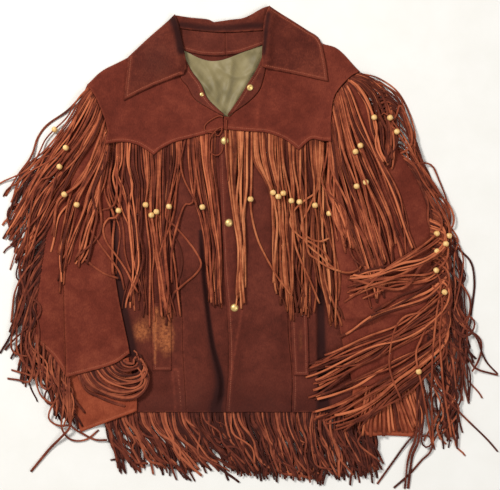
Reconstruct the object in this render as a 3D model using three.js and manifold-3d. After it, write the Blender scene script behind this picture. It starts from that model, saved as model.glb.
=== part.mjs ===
// Fringed suede jacket, laid out flat on its back with its front up.
// Units are millimetres. +X runs to the viewer's right, +Y towards the collar and +Z up from the table.
// The origin is the middle of the box that holds jacket and fringe, on the table.
//
// Every piece of leather is one sheet. A sheet's outline is a loop of named edges, and neighbouring
// pieces share an edge. Its height comes from a pile: each layer rests on the layers below it, bridges
// their steps as stiff leather does, and keeps a small air gap to them.
import * as THREE from "three";
import { mergeVertices } from "three/addons/utils/BufferGeometryUtils.js";
import Module from "manifold-3d";

const wasm = await Module();
wasm.setup();

// Driving sizes.
const SUEDE = 1.5; // one layer of garment suede
const DOUBLED = 2.6; // two layers sewn together, as in the collar
const SATIN = 1; // the lining
const FRINGE = 3; // the depth of a layer of loose fringe
const AIR = 0.35; // between layers, and between the pieces of one layer at a seam
const UNDERLAP = 9; // how far one piece runs under the next at an overlapped seam
const HALF_WIDTH = 437.5; // of the box, over the longest fringe
const HALF_LENGTH = 424.4; // of the box, from the collar's point to the longest fringe
const HEM_Y = -286; // the leather's lower edge
const CENTRE_X = -43; // the centre seam at the back of the neck
const SNAP_RADIUS = 7;
const SOCKET_RADIUS = 5.5;
const LACE_RADIUS = 1.2;
const PRISM_HEIGHT = 80; // taller than the pile
const FACET = 0.1; // how far a facet may lie from the sheet it stands for

const RUST = 0x6e2f1f;
const RUST_DARK = 0x54261c;
const RUST_LIGHT = 0x8a4226;
const OLIVE = 0x8f8a5c;
const BRASS = 0xcaa45a;

// An edge is a table with the columns x and y.
const points = ({ x, y }) => x.map((value, i) => new THREE.Vector2(value, y[i]));
const reversed = (edge) => ({ x: [...edge.x].reverse(), y: [...edge.y].reverse() });
const moved = (edge, dx, dy) => ({ x: edge.x.map((v) => v + dx), y: edge.y.map((v) => v + dy) });

// A closed outline through the points of several edges, without the points that two edges share.
function loop(...edges) {
  const all = edges.flatMap(points);
  const kept = all.filter((p, i) => p.distanceTo(all[(i + 1) % all.length]) > 0.5);
  return THREE.ShapeUtils.area(kept) > 0 ? kept : kept.reverse();
}

// The outline again, smaller by a margin all round.
function inset(outline, margin) {
  const n = outline.length;
  return outline.map((p, i) => {
    const before = outline[(i + n - 1) % n].clone().sub(p).normalize();
    const after = outline[(i + 1) % n].clone().sub(p).normalize();
    const normalBefore = new THREE.Vector2(before.y, -before.x);
    const normalAfter = new THREE.Vector2(-after.y, after.x);
    const inward = normalBefore.add(normalAfter).normalize();
    return p.clone().addScaledVector(inward, margin);
  });
}

function contains(outline, x, y) {
  let inside = false;
  outline.forEach((a, i) => {
    const b = outline[(i + 1) % outline.length];
    const crosses = a.y > y !== b.y > y;
    if (crosses && x < a.x + ((y - a.y) / (b.y - a.y)) * (b.x - a.x)) inside = !inside;
  });
  return inside;
}

function distanceTo(line, x, y, closed = false) {
  let best = Infinity;
  const last = closed ? line.length : line.length - 1;
  for (let i = 0; i < last; i++) {
    const a = line[i];
    const b = line[(i + 1) % line.length];
    const dx = b.x - a.x;
    const dy = b.y - a.y;
    const along = Math.min(1, Math.max(0, ((x - a.x) * dx + (y - a.y) * dy) / (dx * dx + dy * dy)));
    best = Math.min(best, Math.hypot(x - a.x - along * dx, y - a.y - along * dy));
  }
  return best;
}

// A raised fold along a line: height at the line, fading over width to each side.
function fold(line, height, width) {
  const path = points(line);
  return (x, y) => height * Math.exp(-((distanceTo(path, x, y) / width) ** 2));
}

const folds = (...list) => (x, y) => list.reduce((most, f) => Math.max(most, f(x, y)), 0);

// The top of everything laid down so far, as a map of square cells.
const MAP_CELL = 4;
const MAP_WIDE = Math.ceil((2 * HALF_WIDTH) / MAP_CELL) + 2;
const MAP_LONG = Math.ceil((2 * HALF_LENGTH) / MAP_CELL) + 2;
const map = new Float32Array(MAP_WIDE * MAP_LONG);
const cellX = (i) => (i + 0.5) * MAP_CELL - HALF_WIDTH - MAP_CELL;
const cellY = (j) => (j + 0.5) * MAP_CELL - HALF_LENGTH - MAP_CELL;

function cellsNear(x, y, radius, visit) {
  const i0 = Math.max(0, Math.floor((x - radius + HALF_WIDTH) / MAP_CELL));
  const i1 = Math.min(MAP_WIDE - 1, Math.ceil((x + radius + HALF_WIDTH) / MAP_CELL) + 1);
  const j0 = Math.max(0, Math.floor((y - radius + HALF_LENGTH) / MAP_CELL));
  const j1 = Math.min(MAP_LONG - 1, Math.ceil((y + radius + HALF_LENGTH) / MAP_CELL) + 1);
  for (let j = j0; j <= j1; j++) {
    for (let i = i0; i <= i1; i++) visit(j * MAP_WIDE + i, cellX(i), cellY(j));
  }
}

function highest(x, y, radius) {
  let most = 0;
  cellsNear(x, y, radius, (cell, cx, cy) => {
    if (Math.hypot(cx - x, cy - y) <= radius) most = Math.max(most, map[cell]);
  });
  return most;
}

// The underside of a sheet over a square grid that covers its outline.
function rest(outline, { pitch, lift, bridging }) {
  const box = new THREE.Box2().setFromPoints(outline).expandByScalar(pitch * 0.6);
  const wide = Math.ceil((box.max.x - box.min.x) / pitch);
  const long = Math.ceil((box.max.y - box.min.y) / pitch);
  const stepX = (box.max.x - box.min.x) / wide;
  const stepY = (box.max.y - box.min.y) / long;
  const reach = Math.hypot(stepX, stepY) + MAP_CELL;
  const nodes = [];
  for (let j = 0; j <= long; j++) {
    for (let i = 0; i <= wide; i++) {
      const x = box.min.x + i * stepX;
      const y = box.min.y + j * stepY;
      const own = contains(outline, x, y) || distanceTo(outline, x, y, true) < 1.5 * pitch;
      const support = highest(x, y, reach);
      const floor = (support > 0 ? support + AIR : 0) + (lift ? lift(x, y) : 0);
      nodes.push({ x, y, own, floor, z: floor });
    }
  }
  const row = wide + 1;
  for (let k = 0; k < bridging; k++) {
    const next = nodes.map((node, n) => {
      const i = n % row;
      const around = [i > 0 && n - 1, i < wide && n + 1, n - row, n + row]
        .map((m) => nodes[m])
        .filter((m) => m && m.own);
      const mean = around.reduce((sum, m) => sum + m.z, 0) / Math.max(1, around.length);
      return Math.max(node.floor, node.own ? mean : node.z);
    });
    next.forEach((z, n) => (nodes[n].z = z));
  }
  // The height of the grid's own triangles at a point.
  const at = (x, y) => {
    const u = Math.min(wide - 1e-6, Math.max(0, (x - box.min.x) / stepX));
    const v = Math.min(long - 1e-6, Math.max(0, (y - box.min.y) / stepY));
    const n = Math.floor(v) * row + Math.floor(u);
    const fu = u % 1;
    const fv = v % 1;
    const [a, b, c, d] = [nodes[n].z, nodes[n + 1].z, nodes[n + row].z, nodes[n + row + 1].z];
    return fu > fv ? a + fu * (b - a) + fv * (d - b) : a + fu * (d - c) + fv * (c - a);
  };
  return { nodes, wide, long, row, at };
}

function solidFrom(vertices, triangles) {
  const mesh = { numProp: 3, vertProperties: new Float32Array(vertices), triVerts: new Uint32Array(triangles) };
  return new wasm.Manifold(new wasm.Mesh(mesh));
}

// A closed slab on the grid, from its underside up by the wall.
function slab({ nodes, wide, long, row }, wall) {
  const count = nodes.length;
  const vertices = [...nodes.flatMap((n) => [n.x, n.y, n.z]), ...nodes.flatMap((n) => [n.x, n.y, n.z + wall])];
  const triangles = [];
  for (let j = 0; j < long; j++) {
    for (let i = 0; i < wide; i++) {
      const a = j * row + i;
      const [b, c, d] = [a + 1, a + row, a + row + 1];
      triangles.push(a, d, b, a, c, d);
      triangles.push(a + count, b + count, d + count, a + count, d + count, c + count);
    }
  }
  const rim = [];
  for (let i = 0; i < wide; i++) rim.push(i);
  for (let j = 0; j < long; j++) rim.push(j * row + wide);
  for (let i = wide; i > 0; i--) rim.push(long * row + i);
  for (let j = long; j > 0; j--) rim.push(j * row);
  rim.forEach((a, k) => {
    const b = rim[(k + 1) % rim.length];
    triangles.push(a, b, b + count, a, b + count, a + count);
  });
  return solidFrom(vertices, triangles);
}

// A closed three.js geometry as a manifold solid.
function solidOf(geometry) {
  const bare = geometry.clone();
  bare.deleteAttribute("normal");
  bare.deleteAttribute("uv");
  const merged = mergeVertices(bare, 1e-4);
  return solidFrom(merged.attributes.position.array, merged.index.array);
}

function geometryOf(solid) {
  const mesh = solid.getMesh();
  const geometry = new THREE.BufferGeometry();
  geometry.setAttribute("position", new THREE.BufferAttribute(mesh.vertProperties, 3));
  geometry.setIndex(new THREE.BufferAttribute(mesh.triVerts, 1));
  geometry.computeVertexNormals();
  return geometry;
}

const jacket = new THREE.Group();

function show(name, geometry, color, metalness = 0, roughness = 0.95) {
  const mesh = new THREE.Mesh(geometry, new THREE.MeshStandardMaterial({ color, metalness, roughness }));
  mesh.name = name;
  jacket.add(mesh);
  return mesh;
}

// Lays one layer of sheets that lie beside each other, and then adds them to the map.
function layer(...sheets) {
  const laid = sheets.map(({ name, outline, wall = SUEDE, colour = RUST, lift, pitch = 31, bridging = 2 }) => {
    const cut = inset(outline, AIR / 2);
    const under = rest(cut, { pitch, lift, bridging });
    const prism = new THREE.ExtrudeGeometry(new THREE.Shape(cut), { depth: PRISM_HEIGHT, bevelEnabled: false });
    prism.translate(0, 0, -1);
    show(name, geometryOf(slab(under, wall).intersect(solidOf(prism)).simplify(FACET)), colour);
    return { cut, under, wall };
  });
  const corners = [[0, 0], [0.5, 0.5], [0.5, -0.5], [-0.5, 0.5], [-0.5, -0.5]];
  laid.forEach(({ cut, under, wall }) => {
    const box = new THREE.Box2().setFromPoints(cut);
    const centre = box.getCenter(new THREE.Vector2());
    const radius = Math.max(box.max.x - box.min.x, box.max.y - box.min.y) / 2 + MAP_CELL;
    cellsNear(centre.x, centre.y, radius, (cell, cx, cy) => {
      corners.forEach(([u, v]) => {
        const [x, y] = [cx + u * MAP_CELL, cy + v * MAP_CELL];
        if (contains(cut, x, y)) map[cell] = Math.max(map[cell], under.at(x, y) + wall);
      });
    });
  });
}

// ---- Edges that two pieces share ----
const NECKLINE_LEFT = { x: [-46, -69, -96, -109, -122, -129], y: [231, 243, 261, 283, 301, 345] };
const NECKLINE_RIGHT = { x: [-38, -28, -2, 16, 24, 27, 31], y: [230, 238, 257, 277, 301, 317, 352] };
const YOKE_HEM_LEFT = {
  x: [-252, -226, -200, -186, -168, -153, -131, -103, -69, -46],
  y: [181, 186, 182, 175, 163, 175, 186, 193, 202, 207],
};
const YOKE_HEM_RIGHT = {
  x: [-38, 0, 28, 50, 67, 85, 96, 109, 123, 141],
  y: [207, 204, 202, 195, 186, 171, 182, 191, 188, 185],
};
const ARMHOLE_LEFT = { x: [-252, -248, -256, -270, -278, -285], y: [181, 204, 234, 265, 276, 286] };
const ARMHOLE_RIGHT = { x: [141, 141, 148, 173, 192], y: [185, 226, 267, 298, 309] };
const FRONT_EDGE = { x: [-49, -53, -54, -47, -40, -37, -42], y: [215, 193, 155, -20, -111, -195, HEM_Y] };
const SIDE_SEAM_LEFT = { x: [-252, -250, -254, -258], y: [190, 70, -100, HEM_Y] };
const SIDE_SEAM_RIGHT = { x: [141, 165, 192, 217], y: [194, 75, -100, HEM_Y] };
const FRONT_SEAM_LEFT = { x: [-160, -138, -120, -117, -111], y: [176, 40, -90, -184, HEM_Y] };
const FRONT_SEAM_RIGHT = { x: [82, 72, 67, 74, 73], y: [182, 30, -129, -221, HEM_Y] };
const SLEEVE_SEAM_LEFT = { x: [-278, -300, -316, -325, -324, -320], y: [276, 190, 90, 0, -120, -225] };
const OUTER_EDGE_LEFT = {
  x: [-285, -315, -336, -350, -359, -366, -377, -381, -380],
  y: [286, 216, 155, 94, 59, -11, -78, -134, -158],
};
const INNER_EDGE_LEFT = { x: [-252, -247, -241, -231, -214, -210], y: [181, 101, 1, -78, -161, -183] };
const SLEEVE_HEM_LEFT = { x: [-380, -345, -320, -242, -210], y: [-158, -188, -225, -203, -183] };
const OUTER_EDGE_RIGHT = {
  x: [192, 213, 250, 265, 298, 318, 325, 325, 320, 306, 301],
  y: [309, 253, 204, 170, 122, 59, -3, -73, -142, -221, -237],
};
const INNER_EDGE_RIGHT = { x: [141, 142, 145, 156, 170, 180], y: [185, 85, -22, -134, -200, -240] };
const COLLAR_TOP = {
  x: [-131, -105, -75, -63, -35, -9, 21, 33],
  y: [408, 404, 401, 396, 400, 404, 420, 424.4],
};
const STAND_SEAM = { x: [-131, -90, CENTRE_X, 30], y: [385, 380, 377, 381] };

// ---- The layers, from the table up ----

// The collar's hidden part lies under the back neck.
layer({
  name: "collar_under",
  outline: loop(moved(COLLAR_TOP, 0, -2), { x: [56, -152], y: [350, 338] }),
  wall: DOUBLED,
  colour: RUST_DARK,
  pitch: 58,
});

const shoulders = {
  x: [-284, -212, -134, -51, 32, 126, 191],
  y: [284, 333, 380, 374, 380, 355, 307],
};
const backSides = {
  left: { x: [-284, -262, -250, -254, -258], y: [284, 180, 70, -100, HEM_Y] },
  right: { x: [217, 192, 165, 150, 191], y: [HEM_Y, -100, 75, 190, 307] },
};
layer({
  name: "back",
  outline: loop(shoulders, reversed(backSides.right), reversed(backSides.left)),
  pitch: 81,
  bridging: 1,
});

const hemReach = { x: [232, 215, 150, 60, -60, -160, -220, -240], y: [-384, -404, -412, -416, -414, -412, -392, -384] };
layer({
  name: "hem_fringe_back",
  outline: loop({ x: [-258, 217], y: [HEM_Y - AIR, HEM_Y - AIR] }, hemReach),
  wall: FRINGE,
  colour: RUST_DARK,
  pitch: 78,
});

layer({
  name: "lining",
  outline: loop({ x: [-132, -61, 33], y: [354, 328, 364] }, { x: [14, -6, -80, -104], y: [290, 218, 218, 285] }),
  wall: SATIN,
  colour: OLIVE,
  pitch: 34,
});

const facingHem = {
  left: { x: [CENTRE_X, -61, -88, -121, -129], y: [338, 337, 339, 347, 352] },
  right: { x: [30, 24, -17, CENTRE_X], y: [359, 356, 342, 338] },
};
layer(
  {
    name: "neck_facing_left",
    outline: loop({ x: [-131, -90, CENTRE_X], y: [385, 380, 377] }, facingHem.left),
    pitch: 29,
  },
  {
    name: "neck_facing_right",
    outline: loop({ x: [CENTRE_X, 30], y: [377, 381] }, facingHem.right),
    pitch: 29,
  },
  {
    name: "collar_stand",
    outline: loop(COLLAR_TOP, reversed(STAND_SEAM)),
    wall: DOUBLED,
    colour: RUST_DARK,
    pitch: 16,
    lift: fold(moved(COLLAR_TOP, 0, -6), 7, 12),
  },
);

// The fronts. The viewer's right front laps over the left one.
const frontTop = {
  left: moved(YOKE_HEM_LEFT, 0, UNDERLAP),
  right: moved(YOKE_HEM_RIGHT, 0, UNDERLAP),
};
const seamPoint = { left: 4, right: 5 }; // the yoke's point, where each front seam starts
const part = (edge, from, to) => ({ x: edge.x.slice(from, to), y: edge.y.slice(from, to) });
const valleyShoulder = fold({ x: [-98, -88, -78, -84], y: [60, -60, -165, -270] }, 6, 16);
layer(
  {
    name: "front_left_side",
    outline: loop(part(frontTop.left, 0, seamPoint.left + 1), FRONT_SEAM_LEFT, reversed(SIDE_SEAM_LEFT)),
  },
  {
    name: "front_left_centre",
    outline: loop(
      part(frontTop.left, seamPoint.left, 9),
      { x: [-30, -24, -26], y: [205, -110, HEM_Y] },
      reversed(FRONT_SEAM_LEFT),
    ),
    lift: valleyShoulder,
    pitch: 26,
  },
);
layer(
  {
    name: "front_right_centre",
    outline: loop(
      FRONT_EDGE,
      reversed(FRONT_SEAM_RIGHT),
      reversed(part(frontTop.right, 0, seamPoint.right + 1)),
    ),
    pitch: 34,
  },
  {
    name: "front_right_side",
    outline: loop(part(frontTop.right, seamPoint.right, 10), SIDE_SEAM_RIGHT, reversed(FRONT_SEAM_RIGHT)),
  },
);

layer(
  {
    name: "pocket_welt_left",
    outline: loop({ x: [-171, -137, -137, -171], y: [-95, -95, -214, -214] }),
    pitch: 39,
  },
  {
    name: "pocket_welt_right",
    outline: loop({ x: [71, 100, 103, 76], y: [-112, -112, -222, -222] }),
    pitch: 39,
  },
);

layer({
  name: "hem_fringe_front",
  outline: loop({ x: [-262, 220], y: [HEM_Y - AIR, HEM_Y - AIR] }, moved(hemReach, 0, 6)),
  wall: FRINGE,
  colour: RUST_DARK,
  pitch: 65,
});

// Each sleeve is a flattened tube: an under half on the table and the body's side, and an upper half.
const cuffEnd = {
  left: { x: [-212, -204, -197, -197, -296, -310, -313, -318], y: [-190, -230, -268, -284, -322, -292, -256, -222] },
  right: { x: [301, 301, 287, 245, 203, 190, 179, 180], y: [-230, -265, -330, -330, -326, -292, -272, -234] },
};
layer(
  {
    name: "sleeve_left_under",
    outline: inset(loop(OUTER_EDGE_LEFT, SLEEVE_HEM_LEFT, reversed(INNER_EDGE_LEFT), ARMHOLE_LEFT), 2),
    pitch: 47,
  },
  {
    name: "sleeve_right_under",
    outline: inset(loop(INNER_EDGE_RIGHT, reversed(OUTER_EDGE_RIGHT), reversed(ARMHOLE_RIGHT)), 2),
    pitch: 47,
  },
);
layer(
  { name: "cuff_left_under", outline: inset(loop(cuffEnd.left), 2), colour: RUST_LIGHT, pitch: 52 },
  { name: "cuff_right_under", outline: inset(loop(cuffEnd.right), 2), colour: RUST_LIGHT, pitch: 52 },
);
layer(
  { name: "cuff_left", outline: loop(cuffEnd.left), colour: RUST_LIGHT, pitch: 42 },
  { name: "cuff_right", outline: loop(cuffEnd.right), colour: RUST_LIGHT, pitch: 42 },
);

const elbow = {
  upper: fold({ x: [150, 210, 285], y: [-34, -30, -26] }, 5, 18),
  lower: fold({ x: [162, 230, 300], y: [-128, -116, -104] }, 3, 20),
};
layer(
  {
    name: "sleeve_left_back",
    outline: loop(OUTER_EDGE_LEFT, part(SLEEVE_HEM_LEFT, 0, 3), reversed(SLEEVE_SEAM_LEFT)),
    colour: RUST_LIGHT,
    pitch: 34,
  },
  {
    name: "sleeve_left_front",
    outline: loop(
      SLEEVE_SEAM_LEFT,
      part(SLEEVE_HEM_LEFT, 2, 5),
      reversed(INNER_EDGE_LEFT),
      part(ARMHOLE_LEFT, 0, 5),
    ),
    pitch: 34,
  },
  {
    name: "sleeve_right_top",
    outline: loop(INNER_EDGE_RIGHT, reversed(OUTER_EDGE_RIGHT), reversed(ARMHOLE_RIGHT)),
    lift: folds(elbow.upper, elbow.lower),
    pitch: 34,
  },
  {
    name: "yoke_left",
    outline: loop(
      YOKE_HEM_LEFT,
      NECKLINE_LEFT,
      { x: [-150, -213, -259, -285], y: [376, 335, 311, 286] },
      reversed(ARMHOLE_LEFT),
    ),
    pitch: 31,
  },
  {
    name: "yoke_right",
    outline: loop(
      YOKE_HEM_RIGHT,
      ARMHOLE_RIGHT,
      { x: [156, 126, 60], y: [348, 359, 380] },
      reversed(NECKLINE_RIGHT),
      { x: [-45.6, -45.6], y: [230.6, 207.4] },
    ),
    pitch: 31,
  },
  {
    name: "neck_band_left",
    outline: loop(NECKLINE_LEFT, { x: [-119, -103, -86, -74, -45], y: [346, 312, 288, 262, 234] }),
    pitch: 21,
    lift: fold({ x: [-45, -74, -86, -103, -119], y: [234, 262, 288, 312, 346] }, 3, 10),
  },
  {
    name: "neck_band_right",
    outline: loop(NECKLINE_RIGHT, { x: [25, 21, 9, -4, -20, -39], y: [356, 335, 308, 288, 261, 234] }),
    pitch: 21,
    lift: fold({ x: [25, 21, 9, -4, -20, -39], y: [356, 335, 308, 288, 261, 234] }, 3, 10),
  },
);

// Each side of the collar rolls over at the neck and falls onto its yoke.
const roll = {
  left: { x: [-121, -117, -129, -134], y: [302, 323, 380, 400] },
  right: { x: [26, 28, 31, 35], y: [316, 350, 390, 412] },
};
layer(
  {
    name: "collar_left",
    outline: loop({
      x: [-221, -170, -122, -115, -111, -123, -131, -175, -213],
      y: [258, 283, 302, 304, 323, 384, 409, 371, 335],
    }),
    wall: DOUBLED,
    pitch: 18,
    bridging: 3,
    lift: fold(roll.left, 9, 16),
  },
  {
    name: "collar_right",
    outline: loop({
      x: [137, 80, 28, 20, 22, 25, 33.5, 101, 120, 126],
      y: [291, 304, 314, 318, 365, 400, 424.4, 382, 371, 357],
    }),
    wall: DOUBLED,
    pitch: 18,
    bridging: 3,
    lift: fold(roll.right, 9, 16),
  },
);

// ---- Fringe: each trim is one plain solid of its reach ----
layer(
  {
    name: "yoke_fringe_left",
    outline: loop(part(YOKE_HEM_LEFT, 0, 9), { x: [-60, -56, -95, -155, -195, -240, -256], y: [120, -118, -139, -139, -112, -70, 60] }),
    wall: FRINGE,
    colour: RUST_LIGHT,
    pitch: 44,
  },
  {
    name: "yoke_fringe_right",
    outline: loop(
      part(YOKE_HEM_RIGHT, 1, 10),
      { x: [150, 160, 118, 70, 5, -14, -20], y: [60, -134, -112, -134, -112, -40, 120] },
    ),
    wall: FRINGE,
    colour: RUST_LIGHT,
    pitch: 44,
  },
);
// Snaps: two domed caps and the neck's cap on the front edge, and an open pair on the neck bands.
function snap(name, x, y, radius, height) {
  const profile = [[0, 0], [0.96, 0], [1, 0.25], [0.86, 0.62], [0.55, 0.9], [0, 1]];
  const geometry = new THREE.LatheGeometry(profile.map(([r, z]) => new THREE.Vector2(r * radius, z * height)), 16);
  geometry.rotateX(Math.PI / 2);
  const mesh = show(name, geometry, BRASS, 0.9, 0.35);
  mesh.position.set(x, y, highest(x, y, radius + MAP_CELL) + AIR);
  cellsNear(x, y, radius, (cell) => (map[cell] = Math.max(map[cell], mesh.position.z + height)));
}
snap("snap_neck", -44, 188, SNAP_RADIUS, 3);
snap("snap_chest", -36.8, 44.7, SNAP_RADIUS, 3);
snap("snap_waist", -27, -103.6, SNAP_RADIUS, 3);
snap("snap_socket_open", 0, 281, SOCKET_RADIUS, 2.5);
snap("snap_stud_open", -84, 268.6, 3.5, 2.5);

// The neck lace: one end makes two loose loops, the other hangs straight down. Its loops cross over
// themselves, so each row says how far the lace lies above what is under it.
function lace(name, { x, y, over }) {
  const route = x.map((value, i) => {
    const z = highest(value, y[i], 14) + AIR + LACE_RADIUS + over[i];
    return new THREE.Vector3(value, y[i], z);
  });
  const curve = new THREE.CatmullRomCurve3(route);
  const section = new THREE.Shape();
  section.absarc(0, 0, LACE_RADIUS, 0, 2 * Math.PI);
  const steps = Math.ceil(curve.getLength() / (5 * LACE_RADIUS));
  show(name, new THREE.ExtrudeGeometry(section, { extrudePath: curve, steps, curveSegments: 4 }), RUST);
}
lace("neck_lace_loops", {
  x: [-47, -53, -62, -73, -79, -79, -72, -63, -55, -49, -51, -58, -65, -70, -71, -69, -62, -54, -49, -47],
  y: [229, 231, 228, 221, 214, 207, 203, 201, 197, 206, 211, 207, 199, 190, 178, 168, 163, 164, 170, 178],
  over: [1, 1, 1, 1, 1, 1, 1, 1, 1, 4, 5, 5, 5, 3, 1, 1, 1, 1, 1, 1],
});
lace("neck_lace_tail", {
  x: [-41, -41.5, -41, -40, -39, -38.5],
  y: [224, 205, 180, 155, 135, 118],
  over: [1, 1, 1.5, 1.5, 1, 1],
});

// The fringe of the armholes, the sleeves and the cuffs lies over everything else.
layer(
  {
    name: "armhole_fringe_left",
    outline: loop(ARMHOLE_LEFT, {
      x: [-340, -400, -437.5, -434, -413, -370, -322, -296],
      y: [236, 158, 97, 52, 6, -50, -106, 40],
    }),
    wall: FRINGE,
    colour: RUST_LIGHT,
    pitch: 47,
  },
  {
    name: "armhole_fringe_right",
    outline: loop(ARMHOLE_RIGHT, {
      x: [222, 262, 274, 240, 200, 162, 146],
      y: [262, 150, -20, -112, -130, -98, 60],
    }),
    wall: FRINGE,
    colour: RUST_LIGHT,
    pitch: 47,
  },
);
layer(
  {
    name: "sleeve_fringe_left",
    outline: loop(part(OUTER_EDGE_LEFT, 4, 9), { x: [-424, -428, -433, -431], y: [-226, -150, -60, 20] }),
    wall: FRINGE,
    colour: RUST_DARK,
    pitch: 47,
  },
  {
    name: "sleeve_fringe_right",
    outline: loop(part(OUTER_EDGE_RIGHT, 6, 11), {
      x: [250, 160, 92, 84, 120, 166, 240],
      y: [-272, -332, -292, -218, -170, -96, -40],
    }),
    wall: FRINGE,
    colour: RUST_LIGHT,
    pitch: 47,
  },
  {
    name: "shoulder_fringe_right",
    outline: loop(part(OUTER_EDGE_RIGHT, 0, 7), {
      x: [360, 386, 437.5, 384, 372, 345, 322, 290, 236],
      y: [-60, -205, -222, -112, 30, 100, 200, 262, 300],
    }),
    wall: FRINGE,
    colour: RUST_DARK,
    pitch: 47,
  },
);
layer(
  {
    name: "cuff_fringe_left_outer",
    outline: loop(part(SLEEVE_HEM_LEFT, 0, 3), { x: [-316, -340, -388, -376, -424], y: [-330, -322, -391, -300, -244] }),
    wall: FRINGE,
    colour: RUST_DARK,
    pitch: 44,
  },
  {
    name: "cuff_fringe_left",
    outline: loop(part(SLEEVE_HEM_LEFT, 2, 5), { x: [-186, -176, -196, -250, -300], y: [-186, -232, -268, -262, -252] }),
    wall: FRINGE,
    colour: RUST,
    pitch: 36,
  },
  {
    name: "cuff_fringe_right",
    outline: loop({ x: [206, 301, 287, 203], y: [-240, -238, -328, -324] }),
    wall: FRINGE,
    colour: RUST_LIGHT,
    pitch: 36,
  },
  {
    name: "cuff_fringe_right_outer",
    outline: loop({
      x: [304, 330, 384, 392, 437.5, 384, 336, 300, 270, 226, 238, 290],
      y: [-230, -120, -210, -300, -356, -330, -360, -352, -424.4, -422, -400, -332],
    }),
    wall: FRINGE,
    colour: RUST_DARK,
    pitch: 44,
  },
);

export default jacket;
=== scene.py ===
"""Fringed suede jacket laid flat on its back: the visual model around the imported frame.

Lengths in this script are millimetres until a mesh is made. +X is the viewer's right, +Y is towards the
collar and +Z is up from the table. Leather panels and fringe strands are laid one after another on a
height map, so each thing rests on what lies below it.
"""
import math

import bpy
import numpy as np
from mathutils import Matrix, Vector
from mathutils.geometry import delaunay_2d_cdt


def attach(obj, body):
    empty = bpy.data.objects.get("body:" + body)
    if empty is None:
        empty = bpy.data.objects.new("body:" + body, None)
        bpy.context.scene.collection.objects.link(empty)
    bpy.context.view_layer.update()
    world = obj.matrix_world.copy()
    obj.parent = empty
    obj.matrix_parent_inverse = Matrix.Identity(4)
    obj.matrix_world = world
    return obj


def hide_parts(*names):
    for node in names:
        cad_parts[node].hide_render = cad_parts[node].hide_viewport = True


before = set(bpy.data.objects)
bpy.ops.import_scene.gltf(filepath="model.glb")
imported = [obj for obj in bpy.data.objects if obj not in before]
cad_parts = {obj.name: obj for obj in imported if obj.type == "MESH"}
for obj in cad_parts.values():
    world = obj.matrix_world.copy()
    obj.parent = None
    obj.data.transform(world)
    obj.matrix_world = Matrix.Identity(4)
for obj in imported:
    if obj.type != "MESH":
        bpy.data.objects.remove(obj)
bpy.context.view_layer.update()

MM = 0.001
CLOTH = 1.5  # one layer of suede
DOUBLED = 3.2  # two layers turned and stitched, as in the collar
AIR = 0.3

# ---------------------------------------------------------------- paths and noise


def resample(points, step=None, count=None):
    """A smooth curve through the points, at even steps along it."""
    p = np.array(points, float)
    if len(p) == 2:
        fine = p
    else:
        ends = np.vstack([2 * p[0] - p[1], p, 2 * p[-1] - p[-2]])
        t = np.linspace(0, 1, 13)[:-1, None]
        spans = []
        for a, b, c, d in zip(ends[:-3], ends[1:-2], ends[2:-1], ends[3:]):
            bend = 2 * a - 5 * b + 4 * c - d
            twist = 3 * b - a - 3 * c + d
            spans.append(0.5 * (2 * b + (c - a) * t + bend * t**2 + twist * t**3))
        fine = np.vstack(spans + [p[-1:]])
    along = np.r_[0, np.cumsum(np.linalg.norm(np.diff(fine, axis=0), axis=1))]
    n = count or max(2, int(round(along[-1] / step)) + 1)
    at = np.linspace(0, along[-1], n)
    return np.stack([np.interp(at, along, fine[:, k]) for k in range(fine.shape[1])], axis=1)


def unit(vectors):
    """Each row scaled to length 1."""
    return vectors / np.maximum(1e-6, np.linalg.norm(vectors, axis=1, keepdims=True))


def left_of(tangent):
    """The direction to the left of each tangent."""
    return np.stack([-tangent[:, 1], tangent[:, 0]], axis=1)


def ring_at(x, y, radius, count):
    """The x and the y of points evenly around a circle."""
    angles = np.linspace(0, 2 * math.pi, count, endpoint=False)
    return x + radius * np.cos(angles), y + radius * np.sin(angles)


def field_noise(x, y, size, seed):
    """Smooth noise from -1 to 1 over the plane, with features of the given size."""
    rng = np.random.default_rng(seed)
    n = 64
    grid = rng.uniform(-1, 1, (n, n))
    u, v = x / size + 1000.37, y / size + 1000.71
    iu, iv = np.floor(u).astype(int), np.floor(v).astype(int)
    fu, fv = u - iu, v - iv
    fu, fv = fu * fu * (3 - 2 * fu), fv * fv * (3 - 2 * fv)
    a, b = grid[iv % n, iu % n], grid[iv % n, (iu + 1) % n]
    c, d = grid[(iv + 1) % n, iu % n], grid[(iv + 1) % n, (iu + 1) % n]
    return (a * (1 - fu) + b * fu) * (1 - fv) + (c * (1 - fu) + d * fu) * fv


def line_noise(rng, count, waves):
    """Smooth noise along a line of count points, with about that many waves."""
    knots = rng.uniform(-1, 1, max(3, int(math.ceil(waves * 2)) + 3))
    t = np.linspace(0, len(knots) - 2.001, count)
    i = t.astype(int)
    f = t - i
    f = f * f * (3 - 2 * f)
    return knots[i] * (1 - f) + knots[i + 1] * f


def distance_to(lines, x, y):
    """The least distance from each point to any of the lines."""
    best = np.full(x.shape, np.inf)
    for line in lines:
        for a, b in zip(line[:-1], line[1:]):
            d = b - a
            t = ((x - a[0]) * d[0] + (y - a[1]) * d[1]) / max(1e-9, float(d @ d))
            t = np.clip(t, 0, 1)
            best = np.minimum(best, (x - a[0] - t * d[0]) ** 2 + (y - a[1] - t * d[1]) ** 2)
    return np.sqrt(best)


def edge_gap(loop, x, y):
    """The distance from each point to the closed loop."""
    return distance_to([np.vstack([loop, loop[:1]])], x, y)


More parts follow.
